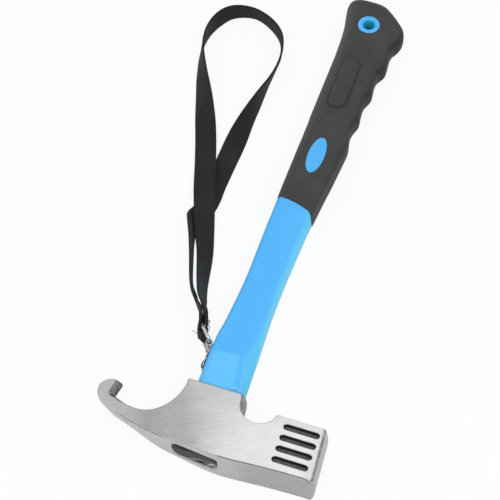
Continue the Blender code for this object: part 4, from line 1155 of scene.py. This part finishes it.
def flared_slot(outline, length, width, depth, flare, lay):
    """Slot cutter, depth deep below its mouth at height 0, with a flared mouth and a rounded floor."""
    bm = prism(outline, -depth, flare * 4)
    mouth = [edge for edge in bm.edges if all(vert.co.z > 0 for vert in edge.verts)]
    upright = [edge for edge in bm.edges if abs(edge.verts[0].co.z - edge.verts[1].co.z) > depth / 2]
    cut = bmesh.ops.subdivide_edges(bm, edges=upright, cuts=1)
    for item in cut["geom_inner"]:
        if isinstance(item, bmesh.types.BMVert):
            item.co.z = -flare
    top = {vert for edge in mouth for vert in edge.verts}
    spread = flare * 5
    for vert in top:
        vert.co.x *= 1 + 2 * spread / length
        vert.co.y *= 1 + 2 * spread / width
    floor = [edge for edge in bm.edges if all(vert.co.z < -depth * 0.99 for vert in edge.verts)]
    bevelled(bm, floor, min(depth, width) * 0.22, 3, True)
    bmesh.ops.transform(bm, matrix=lay, verts=bm.verts)
    bmesh.ops.recalc_face_normals(bm, faces=bm.faces)
    return bm


def groove_places(look):
    """Middles of the grooves on one side of the block."""
    x = STRIKE_REACH - GROOVE_TO_FACE - look.groove_length / 2
    return [Vector((x, -GROOVE_FIRST_DEPTH - GROOVE_PITCH * row, 0)) for row in range(GROOVE_COUNT)]


def eye_cutter():
    """Cutter of the eye's mouth, which follows the crown."""
    lay = Matrix(((1, 0, 0, EYE_CENTRE_X), (0, 0, -1, -CROWN_DEPTH), (0, 1, 0, 0), (0, 0, 0, 1)))
    bm = flared_slot(eye_outline(0), EYE_LENGTH, EYE_WIDTH, EYE_RECESS + 1 * MM, EYE_FLARE, lay)
    for vert in bm.verts:
        vert.co.y += crown_rise(vert.co.x) + crown_sag(vert.co.x)
    return bm


def groove_cutters(look):
    """Cutters of the grooves on both sides of the block."""
    length, width = look.groove_length, look.groove_width
    raise_up = Matrix.Translation((0, 0, HALF_HEAD))
    cutters = []
    for place in groove_places(look):
        for turn in (0, math.pi):
            lay = Matrix.Translation(place) @ Matrix.Rotation(turn, 4, "X") @ raise_up
            outline = slot_outline(length, width, 12)
            cutters.append(flared_slot(outline, length, width, look.groove_depth, GROOVE_FLARE, lay))
    return cutters


def skin_of(face, look):
    """The finish of one of the head's faces, by where it is and how it faces."""
    middle, normal = face.calc_center_median(), face.normal
    x, flat = middle.x, abs(normal.z)
    sunk = HALF_HEAD - abs(middle.z)
    behind = middle.y + CROWN_DEPTH - crown_rise(x) - crown_sag(x)
    if 0.1 * MM < sunk < look.groove_depth + 0.1 * MM:
        reach = Vector((look.groove_length, look.groove_width)) / 2 + Vector((0.1, 0.1)) * MM
        for place in groove_places(look):
            off = middle.xy - place.xy
            if abs(off.x) < reach.x and abs(off.y) < reach.y:
                return GROOVE_SKIN
    in_eye = abs(x - EYE_CENTRE_X) < EYE_LENGTH / 2 + 0.2 * MM and abs(middle.z) < EYE_WIDTH / 2 + 0.2 * MM
    if in_eye and 0.3 * MM < behind < EYE_RECESS + 2 * MM:
        return EYE_SKIN
    # The throat, the neck's sides and the hook's inside
    finger_x = HOOK_FINGER_WIDTH - HOOK_REACH
    inside = finger_x < x < STRIKE_REACH - 2 * MM and behind > EYE_RECESS + 2 * MM
    hooked = flat < 0.975 and normal.x > 0.1 > normal.y - 0.2 and x < 8 * MM - HOOK_REACH + HOOK_FINGER_WIDTH
    if inside and (hooked or (flat < 0.85 and normal.y > -0.4)):
        return SKIN_AND_EDGE_SHADE
    # Corners along the crown, apart from the eye's part of it, and at the striking face: their dark skin is
    # partly painted shade along these edges
    corner = 0.45 < flat < 0.985 and x > -46 * MM and not -16 * MM < x < 14 * MM
    if corner and (behind < 1.2 * MM or x > STRIKE_REACH - 3 * MM):
        return SKIN_AND_EDGE_SHADE
    return STEEL_SKIN


def eye_fill():
    """Resin that closes the eye, dished in the middle."""
    bm = prism(eye_outline(0.1 * MM), 0, 8 * MM)
    face = next(face for face in bm.faces if face.normal.z < -0.9)
    for step in range(4):
        bmesh.ops.inset_region(bm, faces=[face], thickness=0.9 * MM, depth=-0.12 * MM * (2 - step * 0.5))
        face = min(bm.faces, key=lambda item: item.calc_center_median().length + item.calc_center_median().z)
    lay = Matrix(((1, 0, 0, EYE_CENTRE_X), (0, 0, 1, EYE_RECESS - CROWN_DEPTH), (0, 1, 0, 0), (0, 0, 0, 1)))
    bmesh.ops.transform(bm, matrix=lay, verts=bm.verts)
    bmesh.ops.recalc_face_normals(bm, faces=bm.faces)
    return bm


# Handle shape

def section_between(rows, y):
    """Station at a distance along the handle, between the two rows beside it."""
    for before, after in zip(rows, rows[1:]):
        if before[0] <= y <= after[0]:
            return before + (after - before) * ((y - before[0]) / max(after[0] - before[0], 1e-9))
    return rows[0] if y < rows[0][0] else rows[-1]


def dense_rows(stations):
    """Smooth rows through stations, in metres."""
    return smooth_between([Vector(station) * MM for station in stations], 6)


def shaft_section(row, radius):
    """Section of the bare shaft in X and Z: chamfered corners and a left side that leans in to each face."""
    y, left, right, half, wide = row
    inset = left + LEFT_DRAFT * (1 - eased(y, 60 * MM, 100 * MM))
    upper = [
        Vector((right, half - wide * RIGHT_CHAMFER_DROP)), Vector((right - wide, half)),
        Vector((inset + LEFT_CHAMFER, half)), Vector((inset, half - LEFT_CHAMFER)),
    ]
    lower = [Vector((corner.x, -corner.y)) for corner in reversed(upper)]
    corners = [*upper, Vector((left, 0)), *lower]
    points = []
    for index, corner in enumerate(corners):
        before = corners[index - 1] - corner
        after = corners[(index + 1) % len(corners)] - corner
        reach = min(radius, before.length * 0.45, after.length * 0.45)
        start = corner + before.normalized() * reach
        end = corner + after.normalized() * reach
        for step in range(4):
            t = step / 3
            points.append(start * (1 - t) ** 2 + corner * 2 * t * (1 - t) + end * t ** 2)
    return points


def shaft_tube(look):
    """Bare shaft from the neck to just inside the grip."""
    rows = dense_rows(SHAFT_STATIONS)
    sections = [shaft_section(row, look.corner_radius) for row in rows]

    def place(row, side):
        point = sections[row][side]
        return Vector((point.x, rows[row][0], point.y))

    def facet(row, side):
        """Painted highlight on the chamfers along the right edge: strongest next to the neck."""
        corner, step = divmod(side, 4)
        chamfer = (corner in (0, 7) and step > 1) or (corner in (1, 8) and step < 2)
        return Vector(((1 - 0.4 * eased(rows[row][0], 26 * MM, 50 * MM)) * chamfer, 0, 0))

    return swept(len(sections[0]), len(rows) - 1, place, mark=facet)


def oval_pad(side):
    """Blue oval that fills a window in the grip, flush with the rubber."""
    stations = dense_rows(GRIP_STATIONS)
    bm = bmesh.new()
    bmesh.ops.create_circle(bm, cap_ends=True, cap_tris=True, segments=72, radius=0.5)
    spokes = [edge for edge in bm.edges if not edge.is_boundary]
    bmesh.ops.subdivide_edges(bm, edges=spokes, cuts=9, use_grid_fill=True)
    bmesh.ops.scale(bm, verts=bm.verts, vec=(OVAL_WIDTH, OVAL_LENGTH, 1))
    rim = {vert for edge in bm.edges if edge.is_boundary for vert in edge.verts}
    for vert in bm.verts:
        x, y = vert.co.x + OVAL_MIDDLE.x, vert.co.y + OVAL_MIDDLE.y
        proud = -0.25 * MM if vert in rim else 0.06 * MM
        level = grip_height(section_between(stations, y), x) + proud
        vert.co = (x, y, side * level)
    skirt = bmesh.ops.extrude_edge_only(bm, edges=[edge for edge in bm.edges if edge.is_boundary])
    bmesh.ops.translate(bm, verts=new_verts(skirt), vec=(0, 0, -side * 1.5 * MM))
    bmesh.ops.contextual_create(bm, geom=[edge for edge in bm.edges if edge.is_boundary])
    bmesh.ops.recalc_face_normals(bm, faces=bm.faces)
    return bm


def hang_boss():
    """Lined hang hole with a flat flange on each side."""
    bore, rim, top = HANG_HOLE_DIAMETER / 2, HANG_BOSS_DIAMETER / 2, HANG_HALF_HEIGHT
    soft = 0.5 * MM
    upper = [(bore, 0), (bore, top - soft * 1.6), (bore + soft * 0.3, top - soft * 0.6), (bore + soft, top)]
    upper += [(rim - soft, top), (rim - soft * 0.2, top - soft * 0.25), (rim, top - soft), (rim, 0)]
    bm = bmesh.new()
    loop = [bm.verts.new((radius, 0, level)) for radius, level in upper]
    loop += [bm.verts.new((radius, 0, -level)) for radius, level in reversed(upper[1:-1])]
    edges = [bm.edges.new(pair) for pair in zip(loop, loop[1:] + loop[:1])]
    bmesh.ops.spin(
        bm, geom=loop + edges, cent=(0, 0, 0), axis=(0, 0, 1), angle=math.tau, steps=64, use_merge=True)
    bmesh.ops.remove_doubles(bm, verts=bm.verts, dist=MERGE)
    bmesh.ops.translate(bm, verts=bm.verts, vec=(HANG_MIDDLE.x, HANG_MIDDLE.y, 0))
    bmesh.ops.recalc_face_normals(bm, faces=bm.faces)
    return bm


def resin_bead():
    """Bead of resin at the neck, thin at its ends."""
    points = smooth_between([Vector(point) * MM for point in RESIN_BEAD], 6)
    count = len(points) - 1
    return wire_along(points, lambda row: 0.5 * MM * (0.25 + math.sin(math.pi * row / count) ** 0.6), 12)


def join_shift(x):
    """How far the grip's front edge lies from the join, across the handle."""
    return -JOIN_SWEEP * (x - JOIN_PEAK_X) ** 2


def grip_squareness(y):
    """Squareness of the grip's section: boxy at the front and rounder behind."""
    return FRONT_SQUARENESS + (GRIP_SQUARENESS - FRONT_SQUARENESS) * eased(y, JOIN_Y, JOIN_Y + 3 * JOIN_FADE)


def grip_height(row, x):
    """Half height of the grip's face at a place across it."""
    middle, half_width = (row[1] + row[2]) / 2, (row[2] - row[1]) / 2
    share = min(abs(x - middle) / half_width, 1)
    squareness = grip_squareness(row[0])
    return row[3] * (1 - share ** squareness) ** (1 / squareness)


def pad_distance(x, y):
    """Distance from the pad's outline, negative inside it."""
    reach = (PAD_LENGTH - PAD_WIDTH) / 2
    along = y - PAD_MIDDLE.y
    past = max(abs(along) - reach, 0)
    return math.hypot(x - PAD_MIDDLE.x, past) - PAD_WIDTH / 2


def grip_rows():
    """Rows along the grip: its turned-in front lip, then close rows where the pad is."""
    rows = [*LIP_ROWS]
    y = 2.0
    end = (GRIP_END_Y - NECK.y - JOIN_Y) / MM
    while y < end - 12:
        rows.append((y, 0.5))
        near_pad = abs(y + JOIN_Y / MM - PAD_MIDDLE.y / MM) < PAD_LENGTH / MM / 2 + 2
        y += 0.45 if near_pad else 0.9
    while y < end:
        rows.append((y, 0.5))
        y += 0.35
    rows += [(end, 0.5), (end + 0.02, -1.2)]
    return rows


def grip_shell(look):
    """Rubber grip with finger grooves, the raised pads and their moulded grooves."""
    stations = dense_rows(GRIP_STATIONS)
    rows = grip_rows()

    def place(row, side):
        ahead, swell = rows[row]
        fade = eased(ahead * MM, 0, JOIN_FADE)
        y = JOIN_Y + ahead * MM
        station = section_between(stations, y)
        swell = swell * MM - GRIP_LIP
        middle = (station[1] + station[2]) / 2
        half_width = (station[2] - station[1]) / 2 + swell
        half = station[3] + swell
        angle = math.tau * side / GRIP_SIDES
        power = 2 / grip_squareness(y)
        across = math.copysign(abs(math.cos(angle)) ** power, math.cos(angle))
        height = math.copysign(abs(math.sin(angle)) ** power, math.sin(angle))
        x = middle + half_width * across
        z = half * height
        drawn_back = JOIN_RETURN * (0.5 - 0.5 * height) * eased(across, 0.7, 1)
        y += (join_shift(x) + drawn_back) * (1 - fade)
        gap = pad_distance(x, y)
        if gap < 3 * MM and abs(height) > 0.5:
            plateau = 1 - eased(gap, -0.9 * MM, 0.1 * MM)
            moat = eased(gap, -0.25 * MM, 0.3 * MM) * (1 - eased(gap, 0.6 * MM, 1.7 * MM))
            lean = (Vector((x, y)) - PAD_MIDDLE).dot(Vector((0.94, -0.34)))
            moat *= 0.7 + 0.3 * eased(lean, -4 * MM, 4 * MM)
            inside = 1 - eased(gap, -2.1 * MM, -1.1 * MM)
            level = abs(z) + (HALF_HEAD - 0.3 * MM * inside - abs(z)) * plateau - look.pad_groove * moat
            z = math.copysign(level, z)
        return Vector((x, y, z))

    def shaded_flank(row, side):
        """1 on the right side of the grip, where the rubber is darkened as painted shade."""
        return Vector((eased(math.cos(math.tau * side / GRIP_SIDES), 0.72, 0.93), 0, 0))

    return swept(GRIP_SIDES, len(rows) - 1, place, mark=shaded_flank)


# Strap shape

def seam_point(layer, along):
    """Route point in the sewn neck: layer -1, 0 or 1 from the left, along the strap from its middle."""
    pitch = STRAP_THICKNESS + LAYER_GAP
    x = SEAM_MIDDLE.x + layer * pitch * math.cos(SEAM_ANGLE) - along * math.sin(SEAM_ANGLE)
    y = SEAM_MIDDLE.y + layer * pitch * math.sin(SEAM_ANGLE) + along * math.cos(SEAM_ANGLE)
    return Vector((x, y, 1, 0))


def ring_bar():
    """Middle of the ring's far bar."""
    return PIVOT + RING_LENGTH * Vector((-math.sin(RING_REST_ANGLE), math.cos(RING_REST_ANGLE), 0))


def strap_route(wire):
    """Tail, eye round the ring's bar, loop on the ground and end, as place, lift and lean."""
    bar = ring_bar() + EYE_SLACK * Vector((math.sin(EYE_ANGLE), -math.cos(EYE_ANGLE), 0))
    radius = wire / 2 + SEAT_GAP + EYE_SLACK + STRAP_THICKNESS / 2
    route = [seam_point(1, SEAM_LENGTH), seam_point(1, -SEAM_LENGTH)]
    for turn in EYE_TURNS:
        angle = math.pi / 2 + EYE_ANGLE - math.radians(turn)
        route.append(Vector((bar.x + radius * math.cos(angle), bar.y + radius * math.sin(angle), 1, 0)))
    route += [seam_point(-1, -SEAM_LENGTH), seam_point(-1, SEAM_LENGTH)]
    route += [Vector((x * MM, y * MM, lift, math.radians(lean))) for x, y, lift, lean in LOOP_ROUTE]
    turned = Vector((0, 0, 0, math.pi))
    return route + [seam_point(0, SEAM_LENGTH) + turned, seam_point(0, -SEAM_LENGTH / 2) + turned]


def strap_line(wire):
    """Close, evenly spaced points along the strap with the webbing's lean at each."""
    placed = []
    for x, y, lift, lean in smooth_between(strap_route(wire), 24):
        half_height = STRAP_WIDTH / 2 * abs(math.cos(lean)) + STRAP_THICKNESS / 2 * abs(math.sin(lean))
        lying = half_height + SEAT_GAP - HALF_HEAD
        placed.append(Vector((x, y, lying * (1 - max(lift, 0)), lean)))
    even = [placed[0]]
    travelled = 0.0
    for before, after in zip(placed, placed[1:]):
        length = (after.xyz - before.xyz).length
        while travelled + length >= len(even) * STRAP_STEP:
            even.append(before.lerp(after, (len(even) * STRAP_STEP - travelled) / length))
        travelled += length
    return even


def strap_shell(look):
    """Webbing with ribs across it and thicker woven edges, and its centreline in the frame."""
    line = strap_line(look.wire_diameter)
    bar = ring_bar()
    outward = Vector((math.cos(EYE_ANGLE), math.sin(EYE_ANGLE), 0))
    flat_points, end_points = 11, 3
    half_width, half_thick = STRAP_WIDTH / 2, STRAP_THICKNESS / 2

    def profile(side):
        """Place on the webbing's section, from -1 to 1 across it and through it."""
        face, step = divmod(side, flat_points + end_points)
        way = 1 - 2 * face
        if step < flat_points:
            return way * (2 * step / (flat_points - 1) - 1) * 0.94, -way
        turn = math.pi * ((step - flat_points + 1) / (end_points + 1) - 0.5)
        return way * (0.94 + 0.06 * math.cos(turn)), way * math.sin(turn)

    def rib_at(row):
        """0 between two ribs and 1 on a rib."""
        return 0.5 - 0.5 * math.cos(math.tau * row * STRAP_STEP / look.rib_pitch)

    frames = []
    for index, point in enumerate(line):
        ahead, behind = line[min(index + 3, len(line) - 1)], line[max(index - 3, 0)]
        run = (ahead.xyz - behind.xyz).normalized()
        left = Vector((0, 0, 1)).cross(run).normalized()
        across = run.cross(left) * math.cos(point.w) + left * math.sin(point.w)
        frames.append((across, run.cross(across)))

    def place(row, side):
        point = line[row].xyz
        across, out = frames[row]
        wide, deep = profile(side)
        gap = 1 - rib_at(row)
        near = row * STRAP_STEP < EYE_END
        outer = eased((bar - point).dot(outward), -1 * MM, 2.6 * MM)
        bunch = (1 - eased((point - bar).xy.length, 3 * MM, 9 * MM)) * near * outer
        width = half_width * (1 - EYE_BUNCH * bunch) - 0.22 * MM * gap
        thick = half_thick - look.rib_height * gap + 0.05 * MM * eased(abs(wide), 0.8, 0.93)
        return point + across * (wide * width + EYE_BUNCH * half_width * bunch) + out * (deep * thick)

    def weave(row, side):
        return Vector((row * STRAP_STEP, profile(side)[0] * half_width, rib_at(row)))

    bm = swept(2 * (flat_points + end_points), len(line) - 1, place, mark=weave)
    return bm, [point.xyz + NECK for point in line]


def seam_stitches(look):
    """Two rows of thread on each outer layer of the sewn neck, and the turns over its edges."""
    radius = look.thread_diameter / 2
    reach = 1.5 * (STRAP_THICKNESS + LAYER_GAP)
    lay = Matrix.Translation((SEAM_MIDDLE.x, SEAM_MIDDLE.y, 0)) @ Matrix.Rotation(SEAM_ANGLE, 4, "Z")
    half = STRAP_WIDTH / 2 - 0.9 * MM
    shapes = []
    for side in (-1, 1):
        for row in (-1, 0, 1):
            points = []
            for step in range(STITCH_COUNT * 8 + 1):
                phase = step / 8
                sunk = 0.5 - 0.5 * math.cos(math.tau * phase)
                height = half * (2 * phase / STITCH_COUNT - 1)
                sway = 0.35 * MM * math.sin(math.pi * phase)
                out = side * (reach + radius * 0.3 - sunk * radius * 1.6)
                points.append(lay @ Vector((out, row * SEAM_LENGTH * 0.36 + sway, height)))
            shapes.append(wire_along(points, radius, 8))
    for height in (-1, 1):
        for row in (-0.36, 0.1, 0.4):
            points = []
            for step in range(15):
                turn = math.pi * step / 14
                over = STRAP_WIDTH / 2 - 0.6 * MM + (0.6 * MM + radius * 0.8) * math.sin(turn) ** 0.5
                points.append(lay @ Vector((-reach * math.cos(turn), row * SEAM_LENGTH, height * over)))
            shapes.append(wire_along(points, radius, 8))
    return gathered(shapes)


def loose_threads(look):
    """Cut ends of thread that curl out of the seam."""
    radius = look.thread_diameter * 0.7
    shapes = []
    for knots in LOOSE_THREADS:
        points = smooth_between([Vector(knot) * MM for knot in knots], 8)
        count = len(points)
        shapes.append(wire_along(points, lambda row: radius * (1 - 0.5 * row / count), 6))
    return gathered(shapes)


# Strap fitting shape

def rolled_plate():
    """Strip whose end is rolled round the ring's bar."""
    inner, outer = SHAFT_SIDE_X - SEAT_GAP, SHAFT_SIDE_X - SEAT_GAP - PLATE_THICKNESS
    bm = bmesh.new()
    half = PLATE_FOOT_WIDTH / 2
    far = [bm.faces.new([bm.verts.new((x, PLATE_START_Y, z)) for x, z in (
        (inner, -half), (inner, half), (outer, half), (outer, -half))])]
    for y, width in (
        (PLATE_FOOT_END_Y, PLATE_FOOT_WIDTH), (PLATE_NECK_START_Y, PLATE_WIDTH), (PIVOT.y, PLATE_WIDTH),
    ):
        pulled = bmesh.ops.extrude_face_region(bm, geom=far)
        moved = new_verts(pulled)
        if y > PLATE_FOOT_END_Y:
            bmesh.ops.delete(bm, geom=far, context="FACES_ONLY")
        for vert in moved:
            vert.co.y = y
            vert.co.z = math.copysign(width / 2, vert.co.z)
        far = [item for item in pulled["geom"] if isinstance(item, bmesh.types.BMFace)]
    bmesh.ops.spin(
        bm, geom=far + list(far[0].edges) + list(far[0].verts), cent=PIVOT, axis=(0, 0, 1),
        angle=KNUCKLE_TURN, steps=30, use_merge=False)
    bmesh.ops.remove_doubles(bm, verts=bm.verts, dist=MERGE)
    bm.normal_update()
    inside = [face for face in far if face.is_valid]
    bmesh.ops.delete(bm, geom=inside, context="FACES_ONLY")
    bmesh.ops.recalc_face_normals(bm, faces=bm.faces)
    sharp = [edge for edge in bm.edges if edge.calc_face_angle(0) > math.radians(60)]
    bevelled(bm, sharp, 0.16 * MM, 2, True)
    return bm


def pan_screw():
    """Pan head with a cross recess, on a short shank through the plate."""
    head, height = SCREW_HEAD_DIAMETER / 2, SCREW_HEAD_HEIGHT
    seat = 2 * SEAT_GAP + PLATE_THICKNESS
    domed = ((0, 1), (0.35, 0.98), (0.66, 0.88), (0.86, 0.7), (0.97, 0.42), (1, 0.2))
    profile = [(head * out, seat + height * up) for out, up in domed]
    profile += [(head * 0.97, seat + 0.02 * MM), (head * 0.56, seat), (head * 0.56, -3 * MM), (0, -3.6 * MM)]
    bm = bmesh.new()
    verts = [bm.verts.new((radius, 0, level)) for radius, level in profile]
    edges = [bm.edges.new(pair) for pair in zip(verts, verts[1:])]
    bmesh.ops.spin(
        bm, geom=verts + edges, cent=(0, 0, 0), axis=(0, 0, 1), angle=math.tau, steps=40, use_merge=True)
    bmesh.ops.remove_doubles(bm, verts=bm.verts, dist=MERGE)
    bmesh.ops.recalc_face_normals(bm, faces=bm.faces)
    crosses = []
    for turn in (20, 110):
        outline = slot_outline(head * 1.25, head * 0.3, 4)
        lay = Matrix.Rotation(math.radians(turn), 4, "Z")
        crosses.append(prism(outline, seat + height * 0.35, seat + height * 2, lay))
    bm = carved(bm, crosses)
    lay = Matrix.Translation((SHAFT_SIDE_X, SCREW_Y, 0)) @ Matrix.Rotation(-math.pi / 2, 4, "Y")
    bmesh.ops.transform(bm, matrix=lay, verts=bm.verts)
    return bm


def wire_ring(look):
    """Rounded oblong of wire through the knuckle, at its rest angle."""
    half = RING_HEIGHT / 2
    low, high = RING_CORNER, RING_LENGTH - RING_CORNER
    outline = []
    for x, z, end in ((high, half - RING_CORNER, 90), (low, half - RING_CORNER, 180)):
        outline += arc((x, z), RING_CORNER, end - 90, end, 10)
    outline += [Vector((point.x, -point.y)) for point in reversed(outline)]
    lay = Matrix.Translation(PIVOT) @ Matrix.Rotation(RING_REST_ANGLE - math.pi / 2, 4, "Z")
    points = [lay @ Vector((-point.x, 0, point.y)) for point in outline]
    return wire_along(points, look.wire_diameter / 2, 20, True)


# Operators

class HAMMER_OT_strap(bpy.types.Operator):
    """Wrist strap: one length of webbing through the ring, its seam and loose threads"""

    bl_idname = "hammer.strap"
    bl_label = "Wrist Strap"

    def execute(self, context):
        look = context.scene.hammer_strap
        thread = sewing_thread(look)
        bm, path = strap_shell(look)
        strap = finished("wrist_strap", bm, [strap_webbing(look)], "strap_webbing", crease=60)
        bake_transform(strap)
        seam = finished("seam_stitches", seam_stitches(look), [thread], "strap_stitching", "ring")
        ends = finished("loose_threads", loose_threads(look), [thread], None, "ring")
        length = sum((after - before).length for before, after in zip(path, path[1:]))
        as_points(path[::4] + [path[-1]])
        return {"FINISHED"}


class HAMMER_OT_head(bpy.types.Operator):
    """Forged head with its painted grooves, and the resin that closes its eye"""

    bl_idname = "hammer.head"
    bl_label = "Forged Head"

    def execute(self, context):
        look = context.scene.hammer_head
        bm = carved(head_blank(look), [eye_cutter(), *groove_cutters(look)])
        bm.normal_update()
        for face in bm.faces:
            face.material_index = skin_of(face, look)
        skins = [forged_steel(look), groove_paint(look), forging_skin_and_edge_shade(look), eye_wall(look)]
        head = finished("forged_head", bm, skins, "head", "hammer", 40)
        shading = head.modifiers.new("even_shading", "WEIGHTED_NORMAL")
        shading.keep_sharp = True
        finished("eye_filling", eye_fill(), [bedding_resin(look)], "eye_resin", "hammer")
        return {"FINISHED"}


class HAMMER_OT_shaft(bpy.types.Operator):
    """Blue moulded shaft with its oval pads, the hang hole's boss and a bead of resin at the neck"""

    bl_idname = "hammer.shaft"
    bl_label = "Moulded Shaft"

    def execute(self, context):
        look = context.scene.hammer_handle
        whole = gathered([shaft_tube(look), oval_pad(-1), oval_pad(1), hang_boss()])
        # The hang hole's wall takes the bore's painted shade
        for face in whole.faces:
            off = (face.calc_center_median().xy - HANG_MIDDLE).length
            if off < HANG_HOLE_DIAMETER / 2 + 0.1 * MM:
                face.material_index = 1
        finishes = [shaft_plastic(look), shaded_bore_plastic()]
        finished("moulded_shaft", whole, finishes, "handle_sleeve", "hammer", 30)
        finished("resin_bead", resin_bead(), [clear_resin()], None, "hammer")
        core = bpy.data.objects["handle_core"]
        core.data.materials.clear()
        core.data.materials.append(core_glass().material)
        return {"FINISHED"}


class HAMMER_OT_grip(bpy.types.Operator):
    """Rubber grip with finger grooves, a raised pad on each side and the hang hole"""

    bl_idname = "hammer.grip"
    bl_label = "Rubber Grip"

    def execute(self, context):
        look = context.scene.hammer_handle
        rim = arc(HANG_MIDDLE, HANG_BOSS_DIAMETER / 2 - 0.1 * MM, 0, 352.5, 47)
        hole = prism(rim, -20 * MM, 20 * MM)
        bm = carved(grip_shell(look), [hole])
        finished("rubber_grip", bm, [grip_rubber(look)], "grip", "hammer", 40)
        return {"FINISHED"}


class HAMMER_OT_fitting(bpy.types.Operator):
    """Strap plate with its rolled knuckle, its screw and the wire ring"""

    bl_idname = "hammer.fitting"
    bl_label = "Strap Fitting"

    def execute(self, context):
        look = context.scene.hammer_strap
        plate = bright_plating(look, "plate_plating", 0.24, 0.95)
        finished("rolled_plate", rolled_plate(), [plate], "strap_plate", "hammer", 40)
        finished("pan_screw", pan_screw(), [dark_screw()], "plate_screw", "hammer", 40)
        wire = bright_plating(look, "ring_plating", 0.12, 0.3)
        finished("wire_ring", wire_ring(look), [wire], "strap_ring", "ring", 60)
        return {"FINISHED"}


class HAMMER_OT_stage(bpy.types.Operator):
    """White floor, soft studio light and the camera"""

    bl_idname = "hammer.stage"
    bl_label = "White Studio"

    def execute(self, context):
        look = context.scene.hammer_stage
        scene = context.scene
        scene.view_settings.view_transform = "Standard"
        camera = bpy.data.objects.new("camera", bpy.data.cameras.new("camera"))
        scene.collection.objects.link(camera)
        camera.data.lens = look.lens
        camera.data.sensor_width = FRAME_WIDTH
        camera.data.clip_end = 20
        place, aim = Vector(look.camera_place), Vector(look.camera_aim)
        camera.matrix_world = Matrix.LocRotScale(place, (aim - place).to_track_quat("-Z", "Y"), None)
        scene.camera = camera

        bm = bmesh.new()
        bmesh.ops.create_grid(bm, x_segments=1, y_segments=1, size=FLOOR_REACH)
        floor = bare_object("floor", bm)
        floor.data.materials.append(white_floor(look))
        white_sky(scene, look)
        for name, spot, width, height, power in (
            ("key_light", (0.5, -0.45, 1.15), 1.6, 1.6, look.key_power),
            ("side_light", (-0.7, -0.5, 0.9), 0.6, 0.6, look.side_power),
            ("block_light", (-0.01, 0.22, 0.73), 0.16, 0.2, look.block_power),
        ):
            lamp = bpy.data.lights.new(name, "AREA")
            lamp.shape = "RECTANGLE"
            lamp.size, lamp.size_y = width, height
            lamp.energy = power
            light = bpy.data.objects.new(name, lamp)
            scene.collection.objects.link(light)
            spot = Vector(spot)
            light.matrix_world = Matrix.LocRotScale(spot, (-spot).to_track_quat("-Z", "Y"), None)
        return {"FINISHED"}


class HAMMER_PT_sidebar(bpy.types.Panel):
    """Builds the hammer piece by piece"""

    bl_idname = "HAMMER_PT_sidebar"
    bl_label = "Camping Hammer"
    bl_space_type = "VIEW_3D"
    bl_region_type = "UI"
    bl_category = "Hammer"

    def draw(self, context):
        for title, group, operators in SIDEBAR:
            box = self.layout.box()
            box.label(text=title)
            settings = getattr(context.scene, group)
            for name in settings.bl_rna.properties.keys():
                if name not in ("rna_type", "name"):
                    box.prop(settings, name)
            for operator in operators:
                box.operator(operator.bl_idname)


SIDEBAR = (
    ("Stage", "hammer_stage", (HAMMER_OT_stage,)),
    ("Strap", "hammer_strap", (HAMMER_OT_strap, HAMMER_OT_fitting)),
    ("Head", "hammer_head", (HAMMER_OT_head,)),
    ("Handle", "hammer_handle", (HAMMER_OT_shaft, HAMMER_OT_grip)),
)
GROUPS = {
    "hammer_stage": HammerStageSettings,
    "hammer_strap": HammerStrapSettings,
    "hammer_head": HammerHeadSettings,
    "hammer_handle": HammerHandleSettings,
}
CLASSES = (
    *GROUPS.values(),
    HAMMER_OT_stage, HAMMER_OT_strap, HAMMER_OT_fitting, HAMMER_OT_head, HAMMER_OT_shaft, HAMMER_OT_grip,
    HAMMER_PT_sidebar,
)


def register():
    for item in CLASSES:
        bpy.utils.register_class(item)
    for name, group in GROUPS.items():
        setattr(bpy.types.Scene, name, PointerProperty(type=group))


def unregister():
    for name in GROUPS:
        delattr(bpy.types.Scene, name)
    for item in reversed(CLASSES):
        bpy.utils.unregister_class(item)


def main():
    register()
    bpy.ops.hammer.stage()
    bpy.ops.hammer.strap()
    bpy.ops.hammer.fitting()
    bpy.ops.hammer.head()
    bpy.ops.hammer.shaft()
    bpy.ops.hammer.grip()


if __name__ == "__main__":
    main()
